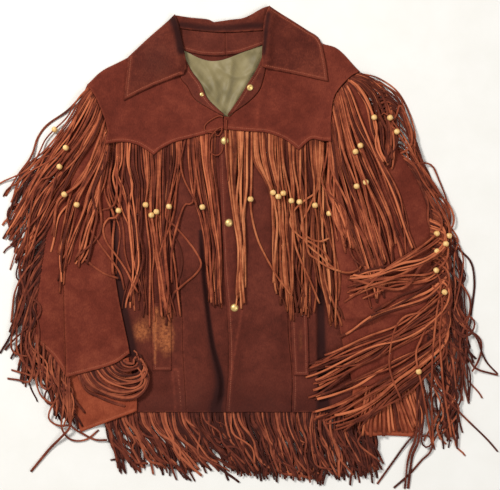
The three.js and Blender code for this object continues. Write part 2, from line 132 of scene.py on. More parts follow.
def inside(loop, x, y):
    """True for the points inside the closed loop."""
    odd = np.zeros(x.shape, bool)
    for a, b in zip(loop, np.roll(loop, -1, axis=0)):
        if a[1] == b[1]:
            continue
        hit = (a[1] > y) != (b[1] > y)
        odd ^= hit & (x < a[0] + (y - a[1]) / (b[1] - a[1]) * (b[0] - a[0]))
    return odd


def ridge(points, height, width):
    """A fold along a line: positive is a raised fold, negative a trough."""
    line = resample(points, 8)
    return lambda x, y: height * np.exp(-((distance_to([line], x, y) / width) ** 2))


def side_of(line, x, y):
    """Signed distance to a line, positive on the left of the way it runs, and how far along it that is."""
    best = np.full(x.shape, np.inf)
    sign = np.ones(x.shape)
    along = np.zeros(x.shape)
    start = 0.0
    for a, b in zip(line[:-1], line[1:]):
        d = b - a
        size = max(1e-6, float(np.hypot(*d)))
        t = np.clip(((x - a[0]) * d[0] + (y - a[1]) * d[1]) / size**2, 0, 1)
        gap = np.hypot(x - a[0] - t * d[0], y - a[1] - t * d[1])
        closer = gap < best
        best = np.where(closer, gap, best)
        sign = np.where(closer, np.sign(d[0] * (y - a[1]) - d[1] * (x - a[0])), sign)
        along = np.where(closer, start + t * size, along)
        start += size
    return best * sign, along, start


def step_fold(points, height, soft, sharp=3.0, fade=30.0):
    """A fold that rises slowly on the left of its line and drops steeply on the right."""
    line = resample(points, 8)

    def shape(x, y):
        d, along, total_length = side_of(line, x, y)
        ends = np.clip(np.minimum(along, total_length - along) / fade, 0, 1)
        slope = np.where(d > 0, np.exp(-np.maximum(d, 0) / soft), np.exp(-((d / sharp) ** 2)))
        return height * slope * ends

    return shape


# ---------------------------------------------------------------- the pile


class Pile:
    """The top of everything laid so far, as a height map of square cells."""

    CELL = 2.0

    def __init__(self, half_x, half_y):
        self.x0, self.y0 = -half_x, -half_y
        self.nx, self.ny = int(2 * half_x / self.CELL), int(2 * half_y / self.CELL)
        self.top = np.zeros((self.ny, self.nx))
        self.bed = np.zeros((self.ny, self.nx))  # the top without any fringe
        self.cx = self.x0 + (np.arange(self.nx) + 0.5) * self.CELL
        self.cy = self.y0 + (np.arange(self.ny) + 0.5) * self.CELL

    def cells(self, x, y):
        i = np.clip(((x - self.x0) / self.CELL).astype(int), 0, self.nx - 1)
        j = np.clip(((y - self.y0) / self.CELL).astype(int), 0, self.ny - 1)
        return j, i

    def at(self, x, y):
        return self.top[self.cells(x, y)]

    def raise_to(self, x, y, z):
        np.maximum.at(self.top, self.cells(x, y), z)

    def window(self, loop, margin=8):
        low, high = loop.min(0) - margin, loop.max(0) + margin
        j0, i0 = self.cells(low[0], low[1])
        j1, i1 = self.cells(high[0], high[1])
        return slice(int(j0), int(j1) + 1), slice(int(i0), int(i1) + 1)

    def sample(self, grid, part, x, y):
        """The grid's height between cell centres, for a grid over that part of the pile."""
        u = (x - self.cx[part[1]][0]) / self.CELL
        v = (y - self.cy[part[0]][0]) / self.CELL
        u = np.clip(u, 0, grid.shape[1] - 1.001)
        v = np.clip(v, 0, grid.shape[0] - 1.001)
        i, j = u.astype(int), v.astype(int)
        fu, fv = u - i, v - j
        low = grid[j, i] * (1 - fu) + grid[j, i + 1] * fu
        high = grid[j + 1, i] * (1 - fu) + grid[j + 1, i + 1] * fu
        return low * (1 - fv) + high * fv


pile = Pile(452, 440)


def widened(grid):
    """Each cell takes the highest of itself and its neighbours."""
    out = grid.copy()
    out[1:] = np.maximum(out[1:], grid[:-1])
    out[:-1] = np.maximum(out[:-1], grid[1:])
    side = out.copy()
    out[:, 1:] = np.maximum(out[:, 1:], side[:, :-1])
    out[:, :-1] = np.maximum(out[:, :-1], side[:, 1:])
    return out


def draped(floor, rounds):
    """A sheet over the floor: it rests on the high places and bridges the steps between them."""
    z = floor.copy()
    for _ in range(rounds):
        p = np.pad(z, 1, mode="edge")
        mean = (p[2:, 1:-1] + p[:-2, 1:-1] + p[1:-1, 2:] + p[1:-1, :-2]) / 4
        z = np.maximum(floor, mean)
    return z


# ---------------------------------------------------------------- meshes


def make_mesh(name, vertices, faces, material, attributes=None):
    """A mesh object from arrays in millimetres; faces is a list of index tuples or arrays."""
    mesh = bpy.data.meshes.new(name)
    mesh.from_pydata((np.asarray(vertices) * MM).tolist(), [], [list(map(int, f)) for f in faces])
    for key, values in (attributes or {}).items():
        layer = mesh.attributes.new(key, "FLOAT", "POINT")
        layer.data.foreach_set("value", np.asarray(values, np.float32))
    mesh.polygons.foreach_set("use_smooth", [True] * len(mesh.polygons))
    mesh.update()
    made = bpy.data.objects.new(name, mesh)
    bpy.context.scene.collection.objects.link(made)
    made.data.materials.append(material)
    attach(made, "root")
    return made


def tube_faces(start, rings, around, flipped=False):
    """The faces of a tube made of rings of vertices, with both ends closed."""
    faces = []
    for i in range(rings - 1):
        a, b = start + i * around, start + (i + 1) * around
        for k in range(around):
            j = (k + 1) % around
            faces.append((a + k, a + j, b + j, b + k) if flipped else (a + k, b + k, b + j, a + j))
    turn = -1 if flipped else 1
    last = start + (rings - 1) * around
    faces.append(tuple(range(start, start + around))[::turn])
    faces.append(tuple(range(last, last + around))[::-turn])
    return faces


# ---------------------------------------------------------------- materials


class Shader:
    """A node material under construction, with short ways to add the nodes used here."""

    def __init__(self, name):
        self.material = bpy.data.materials.new(name)
        self.material.use_nodes = True
        self.tree = self.material.node_tree
        self.tree.nodes.clear()
        self.surface = self.add("ShaderNodeBsdfPrincipled")
        out = self.add("ShaderNodeOutputMaterial")
        self.link(self.surface.outputs[0], out.inputs["Surface"])
        self.place = self.add("ShaderNodeTexCoord").outputs["Object"]

    def add(self, kind, **settings):
        node = self.tree.nodes.new(kind)
        for key, value in settings.items():
            setattr(node, key, value)
        return node

    def link(self, a, b):
        self.tree.links.new(a, b)

    def put(self, socket, value):
        if isinstance(value, bpy.types.NodeSocket):
            self.link(value, socket)
        else:
            socket.default_value = value

    def noise(self, size_mm, detail=4, roughness=0.55, stretch=(1, 1, 1), distortion=0.0, turn=0.0):
        mapping = self.add("ShaderNodeMapping", vector_type="TEXTURE")
        self.link(self.place, mapping.inputs["Vector"])
        mapping.inputs["Scale"].default_value = tuple(1 / c for c in stretch)
        mapping.inputs["Rotation"].default_value = (0, 0, turn)
        node = self.add("ShaderNodeTexNoise")
        self.link(mapping.outputs[0], node.inputs["Vector"])
        node.inputs["Scale"].default_value = 1000 / size_mm
        node.inputs["Detail"].default_value = detail
        node.inputs["Roughness"].default_value = roughness
        node.inputs["Distortion"].default_value = distortion
        return node.outputs["Fac"]

    def attribute(self, name):
        return self.add("ShaderNodeAttribute", attribute_name=name).outputs["Fac"]

    def maths(self, operation, a, b):
        node = self.add("ShaderNodeMath", operation=operation)
        self.put(node.inputs[0], a)
        self.put(node.inputs[1], b)
        return node.outputs[0]

    def times(self, a, b):
        return self.maths("MULTIPLY", a, b)

    def plus(self, a, b):
        return self.maths("ADD", a, b)

    def span(self, value, low, high, to_low=0.0, to_high=1.0):
        node = self.add("ShaderNodeMapRange", interpolation_type="SMOOTHSTEP")
        self.put(node.inputs["Value"], value)
        node.inputs["From Min"].default_value = low
        node.inputs["From Max"].default_value = high
        node.inputs["To Min"].default_value = to_low
        node.inputs["To Max"].default_value = to_high
        return node.outputs["Result"]

    def ramp(self, value, stops):
        node = self.add("ShaderNodeValToRGB")
        self.put(node.inputs["Fac"], value)
        elements = node.color_ramp.elements
        while len(elements) < len(stops):
            elements.new(0.5)
        for element, (position, colour) in zip(elements, stops):
            element.position = position
            element.color = (*linear(colour), 1)
        return node.outputs["Color"]

    def mix(self, factor, a, b):
        node = self.add("ShaderNodeMix", data_type="RGBA")
        self.put(node.inputs["Factor"], factor)
        for socket, value in ((node.inputs["A"], a), (node.inputs["B"], b)):
            colours = [s for s in node.inputs if s.name == socket.name and s.type == "RGBA"]
            if isinstance(value, tuple):
                value = (*linear(value), 1)
            self.put(colours[0], value)
        return [s for s in node.outputs if s.type == "RGBA"][0]

    def bump(self, height, depth_mm, strength=1.0, below=None):
        node = self.add("ShaderNodeBump")
        node.inputs["Strength"].default_value = strength
        node.inputs["Distance"].default_value = depth_mm * MM
        self.put(node.inputs["Height"], height)
        if below is not None:
            self.link(below, node.inputs["Normal"])
        return node.outputs["Normal"]

    def finish(self, colour, roughness, normal=None, **constants):
        self.put(self.surface.inputs["Base Color"], colour)
        self.put(self.surface.inputs["Roughness"], roughness)
        if normal is not None:
            self.link(normal, self.surface.inputs["Normal"])
        for name, value in constants.items():
            self.surface.inputs[name.replace("_", " ")].default_value = value
        return self.material


def linear(colour):
    """An sRGB colour of 0 to 255 as linear light."""
    return tuple((c / 255 / 12.92) if c < 10 else ((c / 255 + 0.055) / 1.055) ** 2.4 for c in colour)


def napped(tint):
    """The settings of a napped surface: a faint sheen in the colour of its raised fibres."""
    return dict(Sheen_Weight=0.16, Sheen_Roughness=0.45, Specular_IOR_Level=0.12,
                Sheen_Tint=(*linear(tint), 1))


def suede(name, dark, middle, light, worn, edge_wear=0.6):
    """Napped suede: brushed patches, mottling, a fine nap, pale worn edges and wear at given places."""
    s = Shader(name)
    patches = s.noise(95, 3, 0.5, distortion=0.6)
    mottle = s.noise(17, 5, 0.62)
    fibre = s.noise(2.6, 3, 0.7, stretch=(1.6, 0.7, 1))
    tone = s.plus(s.times(patches, 0.32), s.times(mottle, 0.34))
    tone = s.plus(tone, s.times(fibre, 0.34))
    colour = s.ramp(tone, [(0.33, dark), (0.5, middle), (0.68, light)])
    rim = s.span(s.attribute("edge"), 0.0, 4.5, 1.0, 0.0)
    rubbed = s.times(rim, s.span(s.noise(9, 4, 0.6), 0.35, 0.62))
    colour = s.mix(s.times(rubbed, edge_wear), colour, light)
    # Paler along the stitching and along listed strips. The strip on the right front's crease is partly
    # rubbed nap and partly a painted highlight on the crease's ridge.
    paler_lines = s.times(s.attribute("seam"), s.span(s.noise(7, 3, 0.6), 0.3, 0.6, 0.25, 0.75))
    colour = s.mix(paler_lines, colour, tuple(min(255, int(1.12 * c)) for c in light))
    scuffs = s.times(s.noise(6, 6, 0.72, stretch=(1.5, 0.5, 1)), 1.3)
    wear = s.span(s.times(s.attribute("wear"), scuffs), 0.2, 0.85, 0.0, 0.9)
    rubbed_tone = s.noise(4.5, 5, 0.7)
    patchy = s.ramp(rubbed_tone, [(0.32, middle), (0.5, worn), (0.72, tuple(int(1.2 * c) for c in worn))])
    colour = s.mix(wear, colour, patchy)
    # Mixes in a near-black brown by the panel's darkening attribute: painted shade in folds, in the collar
    # rolls and beside the left sleeve, and a few darker patches.
    grime = s.span(s.plus(s.attribute("grime"), s.times(mottle, 0.5)), 0.45, 1.0)
    colour = s.mix(s.times(grime, 0.85), colour, (38, 20, 20))
    normal = s.bump(fibre, 0.35, 0.55)
    normal = s.bump(mottle, 1.1, 0.35, below=normal)
    return s.finish(colour, s.span(patches, 0.3, 0.7, 0.98, 0.86), normal, **napped(light))


def fringe_suede(name, dark, middle, light):
    """Cut strands: each has its own tone, with paler rubbed stretches."""
    s = Shader(name)
    mottle = s.noise(13, 4, 0.6)
    fibre = s.noise(2.2, 3, 0.7)
    tone = s.plus(s.attribute("tone"), s.times(s.maths("SUBTRACT", mottle, 0.5), 0.75))
    tone = s.plus(tone, s.times(s.maths("SUBTRACT", fibre, 0.5), 0.3))
    colour = s.ramp(tone, [(0.1, dark), (0.5, middle), (0.95, light)])
    normal = s.bump(fibre, 0.3, 0.5)
    return s.finish(colour, 0.84, normal, **napped(light))


def satin(name):
    """Sage satin: a soft sheen, a very fine weave, and broad light and dark bands painted into its colour as
    the light and shade of soft folds.
    """
    s = Shader(name)
    # Two sets of broad diagonal bands: painted light and shade of the lining's soft folds.
    first = s.noise(44, 2, 0.4, stretch=(2.2, 0.55, 1), turn=-0.5, distortion=0.5)
    second = s.noise(36, 2, 0.4, stretch=(2.0, 0.5, 1), turn=0.6, distortion=0.5)
    fold_light_bands = s.plus(s.times(first, 0.55), s.times(second, 0.45))
    weave = s.noise(0.9, 1, 0.5, stretch=(1, 4, 1))
    colour = s.ramp(fold_light_bands, [(0.3, (112, 100, 64)), (0.5, (136, 122, 82)), (0.7, (158, 144, 102))])
    normal = s.bump(weave, 0.08, 0.3)
    return s.finish(colour, 0.56, normal, Sheen_Weight=0.3, Specular_IOR_Level=0.4)


def brass_metal(name):
    s = Shader(name)
    stain = s.noise(3.2, 4, 0.6)
    colour = s.ramp(stain, [(0.25, (220, 178, 106)), (0.5, (240, 206, 132)), (0.8, (250, 226, 162))])
    return s.finish(colour, s.span(stain, 0.3, 0.7, 0.46, 0.36), Metallic=0.55)


def bone(name):
    s = Shader(name)
    grain = s.noise(3.5, 4, 0.6, stretch=(1, 0.3, 1))
    colour = s.ramp(grain, [(0.3, (222, 162, 88)), (0.5, (247, 200, 126)), (0.75, (254, 226, 168))])
    normal = s.bump(grain, 0.1, 0.3)
    return s.finish(colour, 0.34, normal, Specular_IOR_Level=0.5)


def thread(name, colour):
    s = Shader(name)
    twist = s.noise(0.7, 1)
    shade = s.ramp(twist, [(0.3, tuple(int(0.75 * c) for c in colour)), (0.7, colour)])
    return s.finish(shade, 0.7, s.bump(twist, 0.1, 0.4))


YOKE = suede("Suede_Yoke", (78, 32, 24), (106, 45, 33), (134, 62, 44), (172, 104, 58))
# BODY is a darker copy of the yoke's suede: partly darker nap, partly painted shade over the lower body.
BODY = suede("Suede_Body", (66, 30, 23), (94, 42, 32), (120, 57, 42), (162, 93, 56))
SLEEVE = suede("Suede_Sleeve", (82, 33, 24), (110, 47, 34), (140, 68, 47), (172, 104, 58))
COLLAR = suede("Suede_Collar", (66, 28, 22), (92, 40, 30), (130, 62, 44), (150, 84, 52), 0.8)
CUFF = suede("Suede_Cuff", (104, 44, 29), (136, 62, 40), (164, 82, 54), (176, 104, 60))
FRINGE_PALE = fringe_suede("Fringe_Pale", (92, 42, 28), (154, 79, 50), (212, 130, 86))
FRINGE = fringe_suede("Fringe_Mid", (84, 38, 28), (142, 69, 46), (204, 115, 76))
FRINGE_DARK = fringe_suede("Fringe_Dark", (66, 31, 25), (114, 54, 39), (174, 94, 64))
LACE = fringe_suede("Lace_Leather", (130, 62, 42), (150, 78, 52), (176, 98, 66))
LINING = satin("Lining_Satin")
BRASS = brass_metal("Snap_Brass")
BEAD = bone("Bead")
THREAD = thread("Thread", (176, 104, 74))

# ---------------------------------------------------------------- camera

CAMERA_HEIGHT = 2000
SENSOR = 36
FOCUS_HEIGHT = 4  # the view is as wide as VIEW_WIDTH at this height
VIEW_WIDTH = 875.0
VIEW_CENTRE = (0.0, 6.0)


def make_camera():
    data = bpy.data.cameras.new("Camera")
    data.sensor_width = SENSOR
    data.lens = SENSOR * (CAMERA_HEIGHT - FOCUS_HEIGHT) / VIEW_WIDTH
    camera = bpy.data.objects.new("Camera", data)
    camera.location = (VIEW_CENTRE[0] * MM, VIEW_CENTRE[1] * MM, CAMERA_HEIGHT * MM)
    bpy.context.scene.collection.objects.link(camera)
    bpy.context.scene.camera = camera


make_camera()

# ---------------------------------------------------------------- leather panels

STITCH_INSET = 5.0
EDGE_STEP = 3.4  # between the points of an outline
SHORTEST_STEP = 0.6
ON_EDGE = 0.02
GROOVE_DEPTH, GROOVE_WIDTH = 0.7, 1.1  # where the topstitching pulls the leather down
PIPING_INSET, PIPING_WIDTH = 2.3, 1.5  # the raised lip outside the topstitching
UNSTITCHED = 99.0
EDGE_CALM = 14  # folds and waves die down this near an edge
PUFF_RISE = 7
ROWS = (0.0, 0.5, 1.5, 3.6, 5.0, 6.4)  # rows of points along an edge, by their distance from it


def rows_inside(loop, distance):
    """The loop moved inwards by a distance."""
    before = unit(loop - np.roll(loop, 1, axis=0))
    after = unit(np.roll(loop, -1, axis=0) - loop)
    x, y = loop[:, 0], loop[:, 1]
    area = 0.5 * float(np.sum(x * np.roll(y, -1) - y * np.roll(x, -1)))
    inward = left_of(unit(before + after)) * (1 if area > 0 else -1)
    sharp = np.clip(np.sum(before * after, axis=1), 0.0, 1.0)
    return loop + inward * distance * (1 + 0.25 * (1 - sharp))[:, None]


def panel_points(loop, spacing):
    """Points for a panel's mesh: rows along its edge, and a loose triangular grid inside."""
    kept = [loop]
    for distance in ROWS[1:]:
        row = rows_inside(loop, distance)
        gap = edge_gap(loop, row[:, 0], row[:, 1])
        good = inside(loop, row[:, 0], row[:, 1]) & (gap > 0.8 * distance)
        kept.append(row[good])
    low, high = loop.min(0), loop.max(0)
    x = np.arange(low[0], high[0], spacing)
    y = np.arange(low[1], high[1], spacing * 0.866)
    gx, gy = np.meshgrid(x, y)
    gx[1::2] += spacing / 2
    gx, gy = gx.ravel(), gy.ravel()
    rng = np.random.default_rng(3)
    gx = gx + rng.uniform(-0.12, 0.12, gx.size) * spacing
    gy = gy + rng.uniform(-0.12, 0.12, gy.size) * spacing
    keep = inside(loop, gx, gy)
    gx, gy = gx[keep], gy[keep]
    gap = edge_gap(loop, gx, gy)
    keep = gap > ROWS[-1] + 0.45 * spacing
    kept.append(np.stack([gx[keep], gy[keep]], axis=1))
    return np.vstack(kept)


def triangles_in(points, loop):
    """The points joined by triangles, without those outside the loop."""
    ring = len(loop)
    edges = [(i, (i + 1) % ring) for i in range(ring)]
    result = delaunay_2d_cdt([Vector(p) for p in points.tolist()], edges, [], 1, 1e-5, True)
    vertices = np.array([tuple(v) for v in result[0]])
    faces = np.array(result[2])
    middle = vertices[faces].mean(axis=1)
    return vertices, faces[inside(loop, middle[:, 0], middle[:, 1])]


class Panel:
    """One piece of leather or cloth, laid on the pile."""

    def __init__(self, node, edges, material, cut, thick=CLOTH, spacing=4.2, folds=(),
                 waves=(1.2, 70, 0.5, 26), stitched=(), rests_on=(), wear=None, grime=None,
                 rounds=60, roll=1.0, piping=0.5, rim_height=0.35, puff=0.0, rubbed=()):
        loop = np.vstack([resample(edge, EDGE_STEP)[:-1] for edge in edges])
        step = np.linalg.norm(loop - np.roll(loop, 1, axis=0), axis=1)
        self.node, self.loop, self.thick = node, loop[step > SHORTEST_STEP], thick
        self.cut, self.rests_on = cut, rests_on
        self.stitched = [resample(e, 4) for e in stitched]
        self.rest(folds, waves, rounds, puff)
        points, faces = triangles_in(panel_points(self.loop, spacing), self.loop)
        x, y = points[:, 0], points[:, 1]
        gap, seam = edge_gap(self.loop, x, y), self.seam_gap(x, y)
        turn = np.clip(gap / (roll * 1.6), 0, 1)
        rounding = np.sqrt(np.maximum(0.0, 1 - (1 - turn) ** 2))
        body = thick * (rim_height + (1 - rim_height) * rounding)
        groove = np.exp(-(((seam - STITCH_INSET) / GROOVE_WIDTH) ** 2))
        lip = np.exp(-(((seam - PIPING_INSET) / PIPING_WIDTH) ** 2))
        under = self.underside(x, y)
        top = under + body - GROOVE_DEPTH * groove + piping * lip
        paler_lines = np.exp(-(((seam - STITCH_INSET) / 1.5) ** 2)) + sum(r(x, y) for r in rubbed)
        blank = np.zeros(len(points))
        attributes = {"edge": gap, "wear": wear(x, y) if wear else blank,
                      "grime": grime(x, y) if grime else blank, "seam": paler_lines}
        rim = gap < ON_EDGE
        top = np.where(rim, under + rim_height * thick, top)
        self.build(points, faces, rim, under, top, material, attributes)
        self.mark()

    def build(self, points, faces, rim, under, top, material, attributes):
        """Makes the closed mesh: the top, and an underside that shares the points of the rim."""
        n = len(points)
        lower = np.full(n, -1)
        lower[rim] = np.arange(n)[rim]
        lower[~rim] = n + np.arange(np.count_nonzero(~rim))
        vertices = np.vstack([np.column_stack([points, top]), np.column_stack([points, under])[~rim]])
        faces = list(faces) + [lower[f[::-1]] for f in faces if not rim[f].all()]
        attributes = {key: np.r_[values, values[~rim]] for key, values in attributes.items()}
        stuff = "_satin" if material is LINING else "_leather"
        self.object = make_mesh(self.node + stuff, vertices, faces, material, attributes)
        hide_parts(self.node)

    def rest(self, folds, waves, rounds, puff):
        """Works out the underside from the pile below, with folds and slight waves in it."""
        self.part = pile.window(self.loop)
        gx, gy = np.meshgrid(pile.cx[self.part[1]], pile.cy[self.part[0]])
        near = inside(self.loop, gx, gy)
        for _ in range(3):
            near = widened(near.astype(float)) > 0
        below = widened(pile.top[self.part])
        floor = np.where(near, below + np.where(below > 0, AIR, 0.0), 0.0)
        big, big_size, small, small_size = waves
        seed = sum(map(ord, self.node))
        bumps = big * (field_noise(gx, gy, big_size, seed) + 0.3)
        bumps = bumps + small * field_noise(gx, gy, small_size, seed + 1)
        for fold in folds:
            bumps = bumps + fold(gx, gy)
        gap = edge_gap(self.loop, gx, gy)
        bumps = bumps * np.clip(gap / EDGE_CALM, 0.25, 1) + puff * (1 - np.exp(-gap / PUFF_RISE))
        z = draped(floor, rounds)
        self.under_map = np.maximum(floor, z + np.maximum(bumps, floor - z))
        smooth = draped(self.under_map, 2)
        self.under_map = np.where(near, smooth, self.under_map)

    def underside(self, x, y):
        return pile.sample(self.under_map, self.part, x, y)

    def seam_gap(self, x, y):
        """The distance to the nearest topstitched edge."""
        return distance_to(self.stitched, x, y) if self.stitched else np.full(x.shape, UNSTITCHED)

    def mark(self):
        """Adds the panel's top to the pile."""
        gx, gy = np.meshgrid(pile.cx[self.part[1]], pile.cy[self.part[0]])
        own = inside(self.loop, gx, gy)
        view = pile.top[self.part]
        view[own] = np.maximum(view[own], self.under_map[own] + self.thick)
        pile.bed[self.part][own] = view[own]

    def top_at(self, x, y):
        return self.underside(x, y) + self.thick

    def declare(self, with_pieces=()):
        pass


# ---------------------------------------------------------------- edges shared by the panels

HEM_Y = -286
CENTRE_X = -43
NECKLINE_LEFT = [(-46, 231), (-69, 243), (-96, 261), (-109, 283), (-122, 301), (-129, 345)]
NECKLINE_RIGHT = [(-38, 230), (-28, 238), (-2, 257), (16, 277), (24, 301), (27, 317), (31, 352)]
YOKE_HEM_LEFT = ([(-252, 181), (-226, 186), (-200, 182), (-186, 175), (-168, 163)],
                 [(-168, 163), (-153, 175), (-131, 186), (-103, 193), (-69, 202), (-46, 207)])
YOKE_HEM_RIGHT = ([(-38, 207), (0, 204), (28, 202), (50, 195), (67, 186), (85, 171)],
                  [(85, 171), (96, 182), (109, 191), (123, 188), (141, 185)])
ARMHOLE_LEFT = [(-252, 181), (-248, 204), (-256, 234), (-270, 265), (-285, 286)]
ARMHOLE_RIGHT = [(141, 185), (141, 226), (148, 267), (173, 298), (192, 309)]
SHOULDER_LEFT = [(-150, 376), (-213, 335), (-259, 311), (-285, 286)]
SHOULDER_RIGHT = [(60, 380), (126, 359), (156, 348), (192, 309)]
FRONT_EDGE = [(-49, 215), (-53, 193), (-54, 155), (-47, -20), (-40, -111), (-37, -195), (-42, HEM_Y)]
SIDE_SEAM_LEFT = [(-252, 190), (-250, 70), (-254, -100), (-258, HEM_Y)]
SIDE_SEAM_RIGHT = [(141, 194), (165, 75), (192, -100), (217, HEM_Y)]
FRONT_SEAM_LEFT = [(-166, 172), (-138, 40), (-120, -90), (-117, -184), (-111, HEM_Y)]
FRONT_SEAM_RIGHT = [(85, 180), (72, 30), (67, -129), (74, -221), (73, HEM_Y)]
SLEEVE_SEAM_LEFT = [(-278, 276), (-300, 190), (-316, 90), (-325, 0), (-324, -120), (-320, -225)]
OUTER_EDGE_LEFT = [(-285, 286), (-315, 216), (-336, 155), (-350, 94), (-359, 59), (-366, -11),
                   (-377, -78), (-381, -134), (-380, -158)]
INNER_EDGE_LEFT = [(-252, 181), (-247, 101), (-241, 1), (-231, -78), (-214, -161), (-210, -183)]
SLEEVE_HEM_LEFT = ([(-380, -158), (-345, -188), (-320, -225)], [(-320, -225), (-242, -203), (-210, -183)])
OUTER_EDGE_RIGHT = [(192, 309), (213, 253), (250, 204), (265, 170), (298, 122), (318, 59), (325, -3),
                    (325, -73), (320, -142), (306, -221), (301, -237)]
INNER_EDGE_RIGHT = [(141, 185), (142, 85), (145, -22), (156, -134), (170, -200), (180, -240)]
COLLAR_TOP = ([(-131, 408), (-105, 404), (-75, 401), (-63, 396)],
              [(-63, 396), (-35, 400), (-9, 404), (21, 420), (33, 424)])
STAND_SEAM = [(-131, 385), (-90, 380), (CENTRE_X, 377), (30, 381)]
UNDERLAP = 8


def back(edge):
    return list(reversed(edge))


def moved(edge, dx, dy):
    return [(x + dx, y + dy) for x, y in edge]


def patch(x, y, rx, ry, strength=1.0):
    """A soft oval patch, for wear and for darker areas."""
    return lambda px, py: strength * np.exp(-(((px - x) / rx) ** 2) - ((py - y) / ry) ** 2)


def total(*patches):
    return lambda x, y: np.clip(sum(p(x, y) for p in patches), 0, 1.2)


def near(points, width, strength=1.0):
    line = resample(points, 8)
    return lambda x, y: strength * np.exp(-((distance_to([line], x, y) / width) ** 2))


panels = {}


def panel(node, edges, material, cut, **settings):
    panels[node] = Panel(node, edges, material, cut, **settings)
    return panels[node]


FLAT = (0.0, 60, 0.0, 30)
HIDDEN = {"spacing": 14, "waves": FLAT, "rounds": 20}


def lay_back():
    top = moved(COLLAR_TOP[0] + COLLAR_TOP[1][1:], 0, -2)
    panel(
        "collar_under",
        [top, [(33, 422), (56, 350)], [(56, 350), (-152, 338)],
         [(-152, 338), (-131, 406)]],
        COLLAR, (0.21, 0.085, 0.0114), thick=DOUBLED, **HIDDEN,
    )
    shoulders = [(-284, 284), (-212, 333), (-134, 380), (-51, 374), (32, 380), (126, 355), (191, 307)]
    left = [(-258, HEM_Y), (-254, -100), (-250, 70), (-262, 180), (-284, 284)]
    right = [(191, 307), (150, 190), (165, 75), (192, -100), (217, HEM_Y)]
    panel(
        "back",
        [left, shoulders, right, [(217, HEM_Y), (-258, HEM_Y)]],
        BODY, (0.505, 0.67, 0.287), rests_on=["collar_under"], **HIDDEN,
    )


def lay_neck():
    panel(
        "lining",
        [[(-132, 354), (-61, 328), (33, 364)], [(33, 364), (14, 290), (-6, 218)],
         [(-6, 218), (-80, 218)], [(-80, 218), (-104, 285), (-132, 354)]],
        LINING, (0.17, 0.15, 0.0148), thick=0.8, spacing=2.6, waves=(2.8, 30, 1.5, 11),
        folds=[ridge([(-118, 334), (-84, 292), (-62, 262), (-50, 228)], 3.6, 5),
               ridge([(-92, 338), (-66, 300), (-56, 262)], 2.8, 4.5),
               ridge([(-30, 340), (-36, 290), (-48, 240)], 4.0, 5.5),
               ridge([(-64, 334), (-50, 312), (-20, 300), (8, 310)], 2.8, 4.5),
               ridge([(14, 330), (-12, 285), (-38, 235)], 3.4, 5),
               ridge([(-80, 330), (-40, 318), (0, 322)], 1.8, 7)],
        rests_on=["back"],
    )
    # Darkened along the stand under the collar's roll: painted shade under the roll.
    roll_shade = near([(-120, 390), (-60, 384), (20, 390)], 9, 0.62)
    panel(
        "neck_facing_left",
        [[(-131, 385), (-90, 380), (CENTRE_X, 377)], [(CENTRE_X, 377), (CENTRE_X, 338)],
         [(CENTRE_X, 338), (-61, 337), (-88, 339), (-121, 347), (-129, 352)],
         [(-129, 352), (-131, 385)]],
        BODY, (0.088, 0.048, 0.0035), stitched=[[(CENTRE_X, 338), (-61, 337), (-88, 339), (-121, 347)]],
        rests_on=["lining", "back"],
    )
    panel(
        "neck_facing_right",
        [[(CENTRE_X, 377), (30, 381)], [(30, 381), (30, 359)],
         [(30, 359), (24, 356), (-17, 342), (CENTRE_X, 338)],
         [(CENTRE_X, 338), (CENTRE_X, 377)]],
        BODY, (0.073, 0.043, 0.0025), stitched=[[(24, 356), (-17, 342), (CENTRE_X, 338)]],
        rests_on=["lining", "back"],
    )
    panel(
        "collar_stand",
        [COLLAR_TOP[0], COLLAR_TOP[1], [(33, 424), (30, 381)], back(STAND_SEAM),
         [(-131, 385), (-131, 408)]],
        COLLAR, (0.168, 0.05, 0.0046), thick=DOUBLED, spacing=3, grime=roll_shade,
        folds=[ridge(moved(COLLAR_TOP[0] + COLLAR_TOP[1][1:], 0, -7), 6, 9),
               ridge([(-63, 398), (-60, 378)], -1.6, 5)],
        rests_on=["back", "collar_under"],
    )


POCKET_WEAR = total(patch(-190, -146, 20, 22, 1.1), patch(-147, -158, 16, 32, 1.4),
                    patch(-158, -112, 38, 20, 0.6), near([(-166, -105), (-166, -200)], 3, 0.9))
# Darker towards the hem.
HEM_DARKENING = patch(-20, -305, 330, 110, 0.5)
VALLEY = [(-86, 30), (-80, -47), (-74, -102), (-65, -168), (-50, -233), (-57, -283)]
PLACKET_CREASE = [(-8, 20), (-12, -90), (-23, -160), (-34, -225), (-39, -262)]


